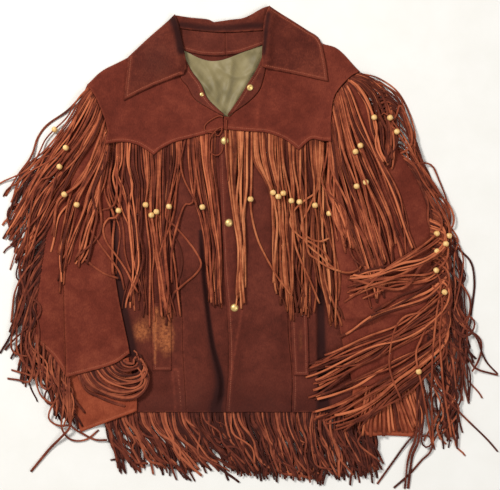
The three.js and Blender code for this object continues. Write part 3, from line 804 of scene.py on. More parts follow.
def lay_fronts():
    left_top = [moved(edge, 0, UNDERLAP) for edge in YOKE_HEM_LEFT]
    right_top = [moved(edge, 0, UNDERLAP) for edge in YOKE_HEM_RIGHT]
    folds_left = [
        step_fold(moved(back(VALLEY), -5, 0), 12, 18, 3.5), ridge(moved(VALLEY, 14, 0), 2.5, 8),
        ridge([(-112, 120), (-104, 0), (-100, -120)], 1.6, 16),
        ridge([(-128, -40), (-100, -150), (-90, -250)], 1.6, 14),
    ]
    panel(
        "front_left_side",
        [left_top[0], moved(FRONT_SEAM_LEFT, -0.05, 0), [(-111.05, HEM_Y), (-258, HEM_Y)],
         back(SIDE_SEAM_LEFT)],
        BODY, (0.15, 0.48, 0.059), wear=POCKET_WEAR, rim_height=0.8, spacing=3.6,
        # The band along the left sleeve's inner edge is the painted shadow of the sleeve on the body.
        grime=total(near(moved(INNER_EDGE_LEFT[1:], 5, 0), 11, 0.75), HEM_DARKENING),
        stitched=[[(-131, -216), (-125, -282)]],
        folds=[ridge([(-200, 100), (-206, -40), (-196, -180)], 2.0, 22),
               ridge([(-150, 0), (-158, -90), (-150, -230)], 1.4, 12),
               ridge([(-185, -232), (-150, -238), (-118, -230)], 1.5, 8)],
        rests_on=["back"], roll=0.5,
    )
    panel(
        "front_left_centre",
        [left_top[1], [(-46, 215), (-30, 205), (-24, -110), (-26, HEM_Y)],
         [(-26, HEM_Y), (-110.95, HEM_Y)], moved(back(FRONT_SEAM_LEFT), 0.05, 0)],
        BODY, (0.145, 0.517, 0.053), folds=folds_left, rests_on=["back"], roll=0.5, spacing=3.4,
        rim_height=0.8,
        # Darkened along the valley: painted shade in the fold.
        grime=total(near(moved(VALLEY, -4, 0), 9, 0.36), near(VALLEY, 3.6, 0.5), HEM_DARKENING),
    )
    panel(
        "front_right_centre",
        [FRONT_EDGE, [(-42, HEM_Y), (72.95, HEM_Y)], moved(back(FRONT_SEAM_RIGHT), -0.05, 0),
         back(right_top[0])],
        BODY, (0.139, 0.501, 0.0595), thick=2.2, stitched=[FRONT_EDGE], roll=1.6, spacing=3.4,
        # The pale strip along the crease: partly rubbed nap, partly a painted highlight on its ridge.
        rim_height=0.5, rubbed=[near(PLACKET_CREASE, 1.7, 0.7)], grime=HEM_DARKENING,
        folds=[step_fold(PLACKET_CREASE, 3.4, 20, 3),
               ridge([(30, 110), (34, -20), (42, -180)], 1.8, 18),
               ridge([(-42, -180), (-30, -215), (-20, -268)], 1.4, 9),
               ridge([(58, -60), (52, -160), (56, -260)], 1.6, 10)],
        rests_on=["back", "front_left_centre"],
    )
    panel(
        "front_right_side",
        [right_top[1], SIDE_SEAM_RIGHT, [(217, HEM_Y), (73.05, HEM_Y)],
         moved(back(FRONT_SEAM_RIGHT), 0.05, 0)],
        BODY, (0.15, 0.485, 0.0535), stitched=[FRONT_SEAM_RIGHT], rests_on=["back"], roll=0.5,
        spacing=3.4, rim_height=0.8, piping=0.2,
        grime=total(near([(126, 20), (124, -120), (128, -280)], 9, 0.85), HEM_DARKENING),
        # The darkened line follows this fold: painted shade in the fold.
        folds=[step_fold([(118, -280), (113, -100), (118, 60)], 7, 14, 4),
               ridge([(92, -60), (90, -160), (96, -270)], 1.4, 9)],
    )


def lay_pockets():
    left = [(-171, -95), (-172, -150), (-170, -214)]
    right = [(71, -112), (73, -170), (76, -222)]
    panel(
        "pocket_welt_left",
        [left, [(-170, -214), (-137, -214)], [(-137, -214), (-138, -150), (-137, -95)],
         [(-137, -95), (-171, -95)]],
        BODY, (0.035, 0.12), thick=1.4, spacing=3, wear=POCKET_WEAR, piping=0.1, rim_height=0.1,
        stitched=[left, [(-170, -214), (-137, -214)]],
        rests_on=["front_left_side"],
    )
    panel(
        "pocket_welt_right",
        [right, [(76, -222), (103, -222)], [(103, -222), (102, -170), (100, -112)],
         [(100, -112), (71, -112)]],
        BODY, (0.033, 0.11), thick=2.0, spacing=3, wear=total(patch(88, -160, 7, 34, 0.62)),
        stitched=[right, [(76, -222), (103, -222)], [(103, -222), (102, -170), (100, -112)]],
        rests_on=["front_right_side"],
    )


CUFF_LEFT = [[(-212, -190), (-204, -230), (-197, -268)], [(-197, -268), (-197, -284)],
             [(-197, -284), (-245, -302), (-296, -322)], [(-296, -322), (-310, -292)],
             [(-310, -292), (-313, -256), (-318, -222)], [(-318, -222), (-212, -190)]]
CUFF_RIGHT = [[(301, -230), (301, -265), (287, -330)], [(287, -330), (203, -326)],
              [(203, -326), (190, -292), (179, -272), (180, -234)], [(180, -234), (301, -230)]]


SLEEVE_LEFT = [OUTER_EDGE_LEFT, *SLEEVE_HEM_LEFT, back(INNER_EDGE_LEFT), ARMHOLE_LEFT]
SLEEVE_RIGHT = [INNER_EDGE_RIGHT, [(180, -240), (301, -237)], back(OUTER_EDGE_RIGHT), back(ARMHOLE_RIGHT)]
SET_BACK = 3  # how far a hidden layer stays inside the one that covers it


def hidden_layer(edges, step):
    loop = rows_inside(np.vstack([resample(e, step)[:-1] for e in edges]), SET_BACK)
    return [np.vstack([loop, loop[:1]]).tolist()]


def lay_sleeves_under():
    for node, edges, cut, front in (
        ("sleeve_left_under", SLEEVE_LEFT, (0.17, 0.51, 0.051), "front_left_side"),
        ("sleeve_right_under", SLEEVE_RIGHT, (0.18, 0.55, 0.0755), "front_right_side"),
    ):
        panel(node, hidden_layer(edges, 12), SLEEVE, cut, rests_on=["back", front], **HIDDEN)
    for node, edges in (("cuff_left_under", CUFF_LEFT), ("cuff_right_under", CUFF_RIGHT)):
        panel(node, hidden_layer(edges, 10), CUFF, (0.12, 0.13, 0.0099),
              rests_on=["hem_fringe_front"], **HIDDEN)


def lay_cuffs():
    panel(
        "cuff_left", CUFF_LEFT, CUFF, (0.125, 0.13, 0.0115), thick=2.0, spacing=3.6,
        stitched=[CUFF_LEFT[2]], rests_on=["cuff_left_under"],
        folds=[ridge([(-262, -216), (-272, -268), (-268, -308)], 1.6, 9),
               ridge([(-226, -210), (-232, -288)], 1.3, 10)],
    )
    panel(
        "cuff_right", CUFF_RIGHT, CUFF, (0.125, 0.105, 0.011), thick=2.0, spacing=4,
        stitched=[CUFF_RIGHT[1]], rests_on=["cuff_right_under"],
        folds=[ridge([(232, -236), (240, -280), (236, -326)], 1.6, 10)],
    )


SLEEVE_BODY = dict(roll=1.6, rim_height=0.6, puff=4.5, rests_on=["sleeve_left_under"])


def lay_sleeves():
    panel(
        "sleeve_left_back",
        [OUTER_EDGE_LEFT, SLEEVE_HEM_LEFT[0], back(SLEEVE_SEAM_LEFT), [(-278, 276), (-285, 286)]],
        SLEEVE, (0.105, 0.51, 0.0185), stitched=[SLEEVE_HEM_LEFT[0]], **SLEEVE_BODY,
        folds=[ridge([(-350, 40), (-352, -60), (-344, -150)], 2.2, 16),
               ridge([(-336, 30), (-340, -80), (-334, -190)], -1.0, 7)],
        waves=(1.8, 80, 0.6, 28),
    )
    panel(
        "sleeve_left_front",
        [SLEEVE_SEAM_LEFT, SLEEVE_HEM_LEFT[1], back(INNER_EDGE_LEFT), ARMHOLE_LEFT[:-1] + [(-278, 276)]],
        SLEEVE, (0.12, 0.505, 0.0365), stitched=[SLEEVE_HEM_LEFT[1]], **SLEEVE_BODY,
        folds=[ridge([(-268, 40), (-262, -60), (-246, -160)], 3.2, 20),
               step_fold([(-325, -64), (-285, -72), (-228, -70)], 2.4, 16, 4, 20),
               ridge([(-300, 0), (-296, -90), (-284, -180)], 1.6, 15),
               ridge([(-318, -196), (-270, -188), (-222, -172)], 1.2, 7)],
        waves=(2.0, 85, 0.6, 30),
    )
    panel(
        "sleeve_right_top",
        SLEEVE_RIGHT, SLEEVE, (0.187, 0.55, 0.079), rests_on=["sleeve_right_under"], roll=2.2, puff=4.5,
        folds=[step_fold([(140, -38), (205, -42), (310, -30)], 7, 16, 3.5, 12),
               ridge([(160, -62), (225, -60), (300, -50)], 2.0, 12),
               step_fold([(150, -122), (230, -116), (318, -100)], 5.5, 14, 3.5, 12),
               ridge([(164, -150), (235, -145), (310, -130)], 2.0, 12),
               ridge([(235, 120), (262, 40), (280, -10)], 2.0, 18)],
        waves=(1.8, 80, 0.6, 28),
    )


YOKE_BODY = dict(thick=2.2, roll=1.2, piping=0.9)
BAND_BODY = dict(thick=2.4, spacing=2.6, roll=1.6, piping=1.1, rests_on=["lining"],
                 waves=(0.5, 40, 0.2, 16))
COLLAR_BODY = dict(thick=DOUBLED, spacing=3.0, roll=2.4, piping=1.6)


def lay_yokes():
    panel(
        "yoke_left",
        [YOKE_HEM_LEFT[0], YOKE_HEM_LEFT[1], [(-46, 207), (-46, 231)], NECKLINE_LEFT,
         [(-129, 345), (-150, 376)], SHOULDER_LEFT, back(ARMHOLE_LEFT)],
        YOKE, (0.24, 0.215, 0.0283), **YOKE_BODY,
        stitched=[YOKE_HEM_LEFT[0], YOKE_HEM_LEFT[1]], rests_on=["front_left_side", "front_left_centre"],
        folds=[ridge([(-236, 300), (-180, 262), (-120, 240)], 1.6, 18),
               ridge([(-246, 240), (-200, 222), (-140, 214)], 1.2, 14)],
    )
    panel(
        "yoke_right",
        [[(-45.6, 207.4), (-38, 207)], YOKE_HEM_RIGHT[0], YOKE_HEM_RIGHT[1], ARMHOLE_RIGHT,
         back(SHOULDER_RIGHT), [(60, 380), (31, 352)], back(NECKLINE_RIGHT),
         [(-38, 230), (-45.6, 230.6)], [(-45.6, 230.6), (-45.6, 207.4)]],
        YOKE, (0.23, 0.21, 0.0272), **YOKE_BODY,
        stitched=[YOKE_HEM_RIGHT[0], YOKE_HEM_RIGHT[1]], rubbed=[near([(15, 262), (11, 205)], 1.3, 0.7)],
        rests_on=["front_right_side", "front_right_centre"],
        folds=[ridge([(150, 300), (110, 262), (60, 236)], 1.6, 18),
               ridge([(16, 262), (14, 206)], 1.0, 4)],
    )
    inner_left = [(-119, 346), (-103, 312), (-86, 288), (-74, 262), (-45, 234)]
    inner_right = [(25, 356), (21, 335), (9, 308), (-4, 288), (-20, 261), (-39, 234)]
    panel(
        "neck_band_left",
        [NECKLINE_LEFT, [(-129, 345), (-119, 346)], inner_left, [(-45, 234), (-46, 231)]],
        BODY, (0.15, 0.024, 0.0025), **BAND_BODY, stitched=[inner_left],
        folds=[ridge(inner_left, 2.4, 6)],
    )
    panel(
        "neck_band_right",
        [NECKLINE_RIGHT, [(31, 352), (25, 356)], inner_right, [(-39, 234), (-38, 230)]],
        BODY, (0.155, 0.02, 0.0022), **BAND_BODY, stitched=[inner_right],
        folds=[ridge(inner_right, 4.5, 7)],
    )


def lay_collar():
    left_outer = [(-221, 258), (-216, 300), (-213, 335)]
    left_front = [(-122, 302), (-170, 283), (-221, 258)]
    left_top = [(-213, 335), (-175, 371), (-131, 409)]
    left_roll = [(-131, 409), (-123, 384), (-111, 323), (-115, 304)]
    # Darkened along the collar's roll: painted shade. The oval patch only darkens the middle of the collar.
    left_roll_shade = near([(-134, 400), (-124, 372), (-118, 345)], 8, 0.72)
    panel(
        "collar_left",
        [left_outer, left_top, left_roll, [(-115, 304), (-122, 302)], left_front],
        COLLAR, (0.16, 0.1, 0.0099), **COLLAR_BODY,
        stitched=[left_outer, left_front], rests_on=["yoke_left"],
        grime=total(left_roll_shade, patch(-163, 326, 52, 56, 0.44)),
        folds=[ridge([(-127, 398), (-121, 360), (-117, 318)], 7, 10),
               ridge([(-205, 300), (-160, 318), (-130, 350)], 1.6, 16)],
    )
    right_outer = [(126, 357), (133, 322), (137, 291)]
    right_front = [(137, 291), (80, 304), (28, 314)]
    right_top = [(33.5, 424), (70, 402), (101, 382), (118, 371), (126, 357)]
    right_roll = [(20, 318), (22, 365), (25, 400), (33.5, 424)]
    panel(
        "collar_right",
        [right_outer, right_front, [(28, 314), (20, 318)], right_roll, right_top],
        COLLAR, (0.13, 0.13, 0.0108), **COLLAR_BODY,
        stitched=[right_outer, right_front, right_top],
        # Darkened along the collar's roll: painted shade.
        grime=near([(24, 340), (27, 372), (32, 408)], 6, 0.66), rests_on=["yoke_right"],
        folds=[ridge([(27, 322), (29, 366), (33, 410)], 7, 10),
               ridge([(60, 380), (84, 350), (120, 322)], 1.6, 18)],
    )


# ---------------------------------------------------------------- fringe


class Strand:
    """One cut strip of suede: its path over the table, its section and its tone."""

    def __init__(self, path, width, thick, tone, seed):
        self.path, self.width, self.thick, self.tone, self.seed = path, width, thick, tone, seed
        self.beads = []  # where on the path each bead sits


STEP = 6.5  # between a strand's cross-sections
SOFT_HEIGHT = 4.5  # a heap of strands higher than this packs down
ROOT = 7.0  # a strand's first stretch, held flat under a seam
SEAT = 0.8  # how high a strand's root sits over the panel
CLEAR = 0.05
LEAST_SQUEEZE = 0.22
COMB_POINTS = 40
SECTION = np.array([(-0.5, 0.12), (-0.4, 0.46), (0.38, 0.5), (0.5, 0.15), (0.4, -0.5), (-0.4, -0.42)])


def sway(rng, waves):
    """Smooth sideways wandering along a strand, in x and y."""
    return np.stack([line_noise(rng, COMB_POINTS, waves), line_noise(rng, COMB_POINTS, waves)], axis=1)


def comb(guides, count, seed, pull=0.5, wander=5.0, stray=0.12, shorten=0.06, width=3.9, tone=0.5,
         cluster=(2, 6), vary=0.3):
    """Strands between the guides, evenly spaced at the root, that gather into locks and wander."""
    rng = np.random.default_rng(seed)
    lines = np.array([resample(g, count=COMB_POINTS) for g in guides])
    roots = np.r_[0, np.cumsum(np.linalg.norm(np.diff(lines[:, 0], axis=0), axis=1))]
    s = np.linspace(0, 1, COMB_POINTS)

    def between(place):
        k = min(len(guides) - 2, max(0, int(np.searchsorted(roots, place, "right")) - 1))
        f = (place - roots[k]) / max(1e-6, roots[k + 1] - roots[k])
        return lines[k] * (1 - f) + lines[k + 1] * f

    places = (np.arange(count) + 0.5 + rng.uniform(-0.2, 0.2, count)) / count * roots[-1]
    locks, at = [], 0
    while at < count:
        size = int(rng.integers(cluster[0], cluster[1]))
        locks.append(range(at, min(count, at + size)))
        at += size
    strands = []
    for lock in locks:
        middle = between(float(np.mean(places[list(lock)])))
        strength = pull * rng.uniform(0.5, 1.3)
        together = sway(rng, 0.8)
        for i in lock:
            path = between(places[i])
            gather = np.clip(strength, 0, 0.92) * np.clip(s / 0.45, 0, 1) ** 1.5
            path = path + (middle - path) * gather[:, None]
            is_stray = rng.random() < stray
            own = wander * (2.6 if is_stray else 0.8)
            alone = sway(rng, 0.9 if is_stray else 1.1)
            grow = (np.clip(s / 0.5, 0, 1) ** 1.3)[:, None]
            path = path + grow * (together * wander * 1.1 + alone * own)
            cut = 1 - shorten * abs(rng.normal())
            path = path[: max(8, int(COMB_POINTS * cut))]
            strand_tone = np.clip(tone + rng.normal() * vary, 0, 1)
            w = width * rng.uniform(0.68, 1.1)
            thick = rng.uniform(1.3, 1.9)
            made = Strand(resample(path, STEP), w, thick, strand_tone, int(rng.integers(1 << 30)))
            strands.append((is_stray, made))
    order = rng.permutation(len(strands))
    strays_last = sorted(order, key=lambda k: strands[k][0])
    return [strands[k][1] for k in strays_last]


def single(points, width=3.6, tone=0.5, seed=1, thick=1.6):
    return Strand(resample(points, STEP), width, thick, tone, seed)


BEAD_RADIUS = 5.2
BEAD_LENGTH = 9.4
FEWEST_POINTS = 12  # on a strand that is long enough for a bead
BEAD_REACH = 55.0  # how far along a strand the pull of a bead is felt


def thread_beads(strands, places):
    """Moves the nearest strand under each bead, and notes the bead on it."""
    for x, y in places:
        best = None
        for strand in strands:
            if len(strand.path) < FEWEST_POINTS or strand.beads:
                continue
            gap = np.hypot(strand.path[:, 0] - x, strand.path[:, 1] - y)
            gap[:6] = np.inf
            gap[-3:] = np.inf
            k = int(np.argmin(gap))
            if best is None or gap[k] < best[0]:
                best = (gap[k], k, strand)
        gap, k, strand = best
        offset = np.array([x, y]) - strand.path[k]
        along = np.r_[0, np.cumsum(np.linalg.norm(np.diff(strand.path, axis=0), axis=1))]
        weight = np.exp(-(((along - along[k]) / BEAD_REACH) ** 2)) * np.clip(along / 25, 0, 1)
        strand.path = strand.path + offset * (weight / weight[k])[:, None]
        strand.beads.append(k)
        strand.tone = max(strand.tone, 0.55)


def settle(strand):
    """The strand's height along its path, resting on the pile; then it is added to the pile."""
    p = strand.path
    n = len(p)
    rng = np.random.default_rng(strand.seed)
    tangent = unit(np.gradient(p, axis=0))
    side = left_of(tangent)
    roll = 0.75 * line_noise(rng, n, 0.35 + n / 22) + 0.35 * line_noise(rng, n, n / 9)
    half_high = np.hypot(0.5 * strand.width * np.sin(roll), 0.5 * strand.thick * np.cos(roll))
    half_wide = np.hypot(0.5 * strand.width * np.cos(roll), 0.5 * strand.thick * np.sin(roll))
    support = np.zeros(n)
    for forward in (-0.4, 0.0, 0.4):
        for across in (-0.8, 0.0, 0.8):
            q = p + tangent * forward * STEP + side * (across * half_wide)[:, None]
            support = np.maximum(support, pile.at(q[:, 0], q[:, 1]))
    bed = pile.bed[pile.cells(p[:, 0], p[:, 1])]
    squeeze = np.maximum(LEAST_SQUEEZE, np.exp(-np.maximum(0, support - bed) / SOFT_HEIGHT))
    free = np.clip((np.arange(n) * STEP - ROOT) / (2.2 * ROOT), 0, 1)
    seated = bed + SEAT
    floor = support + half_high * squeeze + CLEAR
    floor = seated + (floor - seated) * free
    for k in strand.beads:
        under = pile.at(*ring_at(p[k, 0], p[k, 1], 0.75 * BEAD_RADIUS, 12)).max()
        under = max(under - 1.2, pile.at(p[k, 0], p[k, 1]), 0.0)
        floor[k] = max(floor[k], under + BEAD_RADIUS)
    z = floor.copy()
    for _ in range(14):
        mean = z.copy()
        mean[1:-1] = 0.5 * (z[:-2] + z[2:])
        mean[-1] = z[-1] if n < 3 else max(z[-1] - 0.6, z[-2] - 2.0)
        z = np.maximum(floor, mean)
    strand.z, strand.roll, strand.side, strand.tangent = z, roll, side, tangent
    fine = np.linspace(0, n - 1, max(2, int((n - 1) * STEP / 1.4)))
    fx, fy = np.interp(fine, np.arange(n), p[:, 0]), np.interp(fine, np.arange(n), p[:, 1])
    fz = np.interp(fine, np.arange(n), z + 0.75 * half_high * squeeze)
    sx = np.interp(fine, np.arange(n), side[:, 0] * half_wide)
    sy = np.interp(fine, np.arange(n), side[:, 1] * half_wide)
    for across in (-0.7, 0.0, 0.7):
        pile.raise_to(fx + sx * across, fy + sy * across, fz - 0.25 * abs(across))
    for k in strand.beads:
        for share in (0.0, 0.4, 0.8):
            high = z[k] + BEAD_RADIUS * math.sqrt(1 - share * share)
            pile.raise_to(*ring_at(p[k, 0], p[k, 1], share * BEAD_RADIUS, 10), high)


def strand_arrays(strand, start):
    """Vertices, faces and tones of one strand, with its vertex numbers from start."""
    n = len(strand.path)
    forward = np.column_stack([strand.tangent, np.gradient(strand.z) / STEP])
    forward = unit(forward)
    side = np.column_stack([strand.side, np.zeros(n)])
    up = np.cross(forward, side)
    up *= np.where(up[:, 2:] < 0, -1, 1)
    c, s = np.cos(strand.roll)[:, None], np.sin(strand.roll)[:, None]
    across, lift = side * c + up * s, up * c - side * s
    centre = np.column_stack([strand.path, strand.z])
    rings = [centre + across * (strand.width * u) + lift * (strand.thick * v) for u, v in SECTION]
    vertices = np.stack(rings, axis=1).reshape(-1, 3)
    vertices[:, 2] = np.maximum(vertices[:, 2], 0.05)
    faces = tube_faces(start, n, len(SECTION))
    rng = np.random.default_rng(strand.seed + 5)
    tone = strand.tone + 0.2 * line_noise(rng, n, n / 12) - 0.12 * np.exp(-np.arange(n) * STEP / 18)
    return vertices, faces, np.repeat(tone, len(SECTION))


BEAD_PROFILE = [(1.6, -0.5), (2.9, -0.46), (4.1, -0.34), (4.9, -0.18), (5.2, 0.0), (4.9, 0.18),
                (4.1, 0.34), (2.9, 0.46), (1.6, 0.5), (1.4, 0.0)]  # radius, share of the length
BEAD_TURNS = 20


def bead_arrays(strand, start):
    """The beads of one strand: short barrels with a hole along the strand."""
    vertices, faces = [], []
    m = len(BEAD_PROFILE)
    for k in strand.beads:
        rise = strand.z[min(k + 1, len(strand.z) - 1)] - strand.z[k - 1]
        axis = np.array([*strand.tangent[k], rise / (2 * STEP)])
        axis /= np.linalg.norm(axis)
        u = np.cross(axis, (0, 0, 1.0))
        u /= np.linalg.norm(u)
        v = np.cross(axis, u)
        centre = np.array([*strand.path[k], strand.z[k]])
        first = start + len(vertices)
        for turn in range(BEAD_TURNS):
            angle = 2 * math.pi * turn / BEAD_TURNS
            spoke = u * math.cos(angle) + v * math.sin(angle)
            for radius, along in BEAD_PROFILE:
                vertices.append(centre + spoke * radius + axis * along * BEAD_LENGTH)
            a, b = first + turn * m, first + ((turn + 1) % BEAD_TURNS) * m
            for i in range(m):
                j = (i + 1) % m
                faces.append((a + i, a + j, b + j, b + i))
    return vertices, faces


laid_strands = {}


def lay_fringe(node, strands, beads=()):
    thread_beads(strands, beads)
    strands.sort(key=lambda s: bool(s.beads))
    for strand in strands:
        settle(strand)
    laid_strands.setdefault(node, []).extend(strands)


def build_fringe(node, material):
    vertices, faces, tones, start = [], [], [], 0
    bead_vertices, bead_faces = [], []
    for strand in laid_strands[node]:
        v, f, t = strand_arrays(strand, start)
        vertices.append(v)
        faces.extend(f)
        tones.append(t)
        start += len(v)
        bv, bf = bead_arrays(strand, len(bead_vertices))
        bead_vertices.extend(bv)
        bead_faces.extend(bf)
    tone = {"tone": np.concatenate(tones)}
    made = make_mesh(node + "_strands", np.vstack(vertices), faces, material, tone)
    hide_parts(node)
    pieces = [made]
    if bead_vertices:
        beads = make_mesh(node + "_beads", np.array(bead_vertices), bead_faces, BEAD)
        pieces.append(beads)
    return pieces


# ---------------------------------------------------------------- where the strands hang

YOKE_LEFT_OUTER = [
    [(-250, 190), (-251, 150), (-262, 118), (-280, 70), (-290, 40), (-305, 0), (-310, -30)],
    [(-240, 191), (-243, 150), (-245, 125), (-240, 100), (-229, 70), (-215, 35), (-205, -10), (-200, -60),
     (-197, -80)],
    [(-225, 191), (-225, 150), (-235, 125), (-225, 100), (-212, 60), (-207, 0), (-203, -60), (-200, -118)],
    [(-212, 190), (-213, 150), (-205, 125), (-200, 100), (-205, 70), (-205, 0), (-204, -60), (-202, -125)],
    [(-200, 188), (-198, 140), (-192, 110), (-193, 60), (-193, 0), (-190, -50), (-188, -110)],
    [(-190, 183), (-186, 140), (-180, 100), (-181, 60), (-186, 0), (-193, -60), (-195, -120)],
    [(-180, 177), (-178, 130), (-174, 100), (-172, 62), (-163, 20), (-156, -30), (-150, -80), (-143, -142)],
    [(-168, 170), (-164, 130), (-163, 65), (-158, 20), (-153, -30), (-148, -90), (-140, -138)],
    [(-155, 180), (-155, 120), (-152, 60), (-146, 0), (-142, -60), (-136, -142)],
    [(-142, 187), (-142, 120), (-143, 80), (-150, 20), (-152, -40), (-152, -90), (-156, -125)],
    [(-130, 192), (-130, 150), (-137, 110), (-142, 73), (-144, 20), (-140, -40), (-134, -100), (-128, -138)],
    [(-118, 196), (-117, 150), (-122, 110), (-133, 70), (-134, 0), (-132, -60), (-124, -140)],
]
YOKE_LEFT_INNER = [
    [(-110, 197), (-108, 150), (-100, 100), (-86, 50), (-76, 0), (-72, -60), (-66, -105)],
    [(-95, 201), (-90, 150), (-80, 100), (-70, 50), (-64, 0), (-62, -60), (-60, -112)],
    [(-80, 205), (-78, 150), (-70, 100), (-64, 50), (-58, 0), (-56, -60), (-54, -115)],
    [(-60, 209), (-61, 150), (-60, 100), (-56, 50), (-52, 0), (-50, -60), (-48, -112)],
]
YOKE_LEFT_SINGLES = [
    [(-112, 196), (-128, 130), (-147, 60), (-130, 38), (-110, 15), (-93, -8), (-85, -28), (-95, -45),
     (-115, -62), (-133, -78)],
    [(-216, 190), (-222, 130), (-228, 60), (-245, 52), (-255, 35), (-250, 12), (-235, -10), (-218, -35),
     (-205, -60), (-195, -78)],
    [(-230, 191), (-232, 130), (-236, 78), (-262, 65), (-275, 50), (-277, 32), (-262, 8), (-240, -22),
     (-226, -45), (-220, -72)],
    [(-247, 190), (-262, 110), (-288, 40), (-297, -5), (-280, -25), (-255, -43), (-230, -52)],
    [(-90, 203), (-94, 140), (-100, 82), (-115, 75), (-130, 30), (-137, -10), (-137, -60)],
    [(-124, 194), (-118, 130), (-95, 80), (-78, 30), (-74, -30)],
]
YOKE_LEFT_BEADS = [(-229, 66), (-182, 76), (-163, 64), (-172, 58), (-141, 73), (-83, 72)]

YOKE_RIGHT_FIRST = [
    [(-44, 210), (-42, 150), (-37, 100), (-33, 50), (-24, 0), (-24, -50), (-26, -98)],
    [(-28, 210), (-27, 150), (-25, 100), (-22, 50), (-18, 0), (-17, -50), (-13, -97)],
    [(-15, 210), (-14, 150), (-14, 100), (-13, 50), (-12, 0), (-14, -60), (-15, -130)],
    [(-3, 210), (-3, 150), (-2, 100), (-4, 60), (-6, 0), (-9, -50), (-12, -92)],
]
YOKE_RIGHT_SECOND = [
    [(2, 209), (4, 170), (8, 145), (25, 115), (40, 75), (44, 20), (45, -40), (47, -98)],
    [(15, 209), (17, 170), (27, 135), (45, 90), (53, 40), (50, 0), (52, -50), (60, -75)],
    [(30, 207), (32, 165), (42, 125), (56, 85), (62, 30), (62, -40), (65, -110)],
    [(45, 203), (47, 160), (55, 110), (64, 60), (66, 0), (68, -60), (68, -132)],
    [(60, 196), (61, 150), (66, 100), (72, 50), (76, 0), (74, -60), (75, -125)],
]
YOKE_RIGHT_THIRD = [
    [(66, 192), (68, 150), (71, 110), (72, 83), (78, 40), (88, 0), (88, -60), (85, -130)],
    [(80, 182), (80, 140), (85, 100), (86, 80), (92, 40), (96, 0), (97, -60), (94, -132)],
    [(92, 184), (93, 140), (100, 100), (103, 60), (104, 0), (100, -60), (94, -120)],
]
YOKE_RIGHT_FOURTH = [
    [(103, 193), (105, 150), (112, 110), (113, 75), (117, 40), (118, 0), (128, -40), (138, -90),
     (140, -132)],
    [(118, 195), (120, 150), (124, 100), (128, 50), (132, 0), (137, -60), (147, -137)],
    [(132, 193), (132, 150), (136, 100), (138, 61), (139, 20), (142, -40), (148, -90), (156, -134)],
]
YOKE_RIGHT_SINGLES = [
    [(3, 210), (3, 150), (3, 110), (2, 80), (5, 50), (14, 15), (28, -15), (48, -50), (62, -68), (70, -80)],
    [(54, 199), (58, 150), (70, 90), (74, 50), (78, 10), (88, -20), (104, -55), (121, -96)],
    [(128, 193), (127, 165), (122, 125), (117, 100), (97, 85), (80, 70), (71, 55), (72, 38), (88, 20),
     (110, 8),
     (130, -8), (142, -25)],
    [(122, 193), (122, 160), (118, 110), (105, 75), (92, 50), (90, 32), (103, 18), (122, 12), (138, 18)],
    [(88, 180), (88, 100), (95, 20), (105, 2), (122, -12), (140, -30), (160, -41), (182, -40), (195, -28),
     (197, -5), (190, 15), (186, 40)],
    [(96, 188), (98, 80), (100, 0), (115, -18), (135, -32), (158, -40)],
]
YOKE_RIGHT_BEADS = [(40, 97), (49, 90), (58, 96), (72, 83), (86, 81), (113, 75), (138, 61), (1, 86)]

ARMHOLE_LEFT_OUTER = [
    [(-278, 286), (-300, 262), (-318, 230), (-345, 200), (-380, 162), (-410, 125), (-434, 98)],
    [(-275, 280), (-296, 245), (-318, 205), (-345, 168), (-380, 130), (-410, 95), (-433, 52)],
    [(-269, 271), (-284, 235), (-308, 195), (-338, 150), (-368, 105), (-395, 60), (-425, 5)],
    [(-261, 259), (-270, 225), (-290, 190), (-322, 145), (-350, 100), (-372, 60), (-395, 10), (-418, -25)],
    [(-254, 243), (-258, 215), (-275, 180), (-308, 135), (-340, 95), (-362, 50), (-385, 5), (-398, -40)],
]
ARMHOLE_LEFT_INNER = [
    [(-252, 236), (-257, 205), (-272, 170), (-298, 125), (-322, 94), (-335, 60), (-345, 40)],
    [(-249, 222), (-254, 190), (-265, 150), (-285, 110), (-301, 75), (-310, 30), (-320, -20), (-332, -90)],
    [(-246, 210), (-251, 170), (-262, 130), (-280, 85), (-292, 40), (-303, 0), (-315, -30)],
    [(-245, 198), (-249, 160), (-258, 120), (-273, 80), (-283, 45), (-295, 10), (-312, -34)],
    [(-247, 186), (-250, 150), (-256, 115), (-266, 80), (-275, 50), (-290, 5), (-305, -15)],
]
ARMHOLE_LEFT_BEADS = [(-342, 208), (-320, 175), (-331, 142), (-323, 94), (-301, 76)]

SLEEVE_LEFT_OUTER = [
    [(-318, 196), (-345, 185), (-370, 160), (-395, 125), (-415, 95)],
    [(-332, 156), (-360, 150), (-385, 115), (-400, 70), (-412, 30), (-420, -10)],
    [(-344, 112), (-368, 100), (-388, 60), (-398, 10), (-402, -30)],
    [(-351, 77), (-372, 55), (-388, 15), (-396, -40), (-404, -85), (-412, -140)],
    [(-355, 32), (-376, 5), (-390, -40), (-396, -90), (-405, -130), (-417, -157)],
    [(-361, -8), (-380, -40), (-390, -90), (-393, -130), (-405, -175), (-411, -205)],
    [(-367, -48), (-384, -85), (-388, -130), (-386, -170), (-392, -200), (-400, -238)],
    [(-373, -93), (-388, -130), (-390, -160), (-380, -200), (-383, -245)],
    [(-375, -128), (-384, -160), (-378, -190), (-362, -215), (-345, -240)],
    [(-375, -150), (-378, -180), (-366, -205), (-350, -230), (-340, -260)],
]
SLEEVE_LEFT_SINGLES = [
    [(-368, -20), (-386, -60), (-403, -100), (-415, -150), (-416, -175), (-405, -185), (-388, -188)],
    [(-372, -60), (-385, -100), (-398, -150), (-398, -185), (-390, -205), (-375, -222)],
    [(-366, -10), (-392, -40), (-412, -80), (-418, -130)],
    [(-376, -150), (-366, -200), (-372, -222), (-395, -218), (-418, -213)],
    [(-372, -155), (-376, -200), (-385, -232), (-405, -230), (-425, -228)],
    [(-372, -150), (-368, -205), (-373, -230), (-366, -255), (-352, -267), (-340, -270)],
    [(-360, -165), (-360, -200), (-362, -220), (-364, -238), (-353, -246), (-345, -236), (-346, -220)],
]

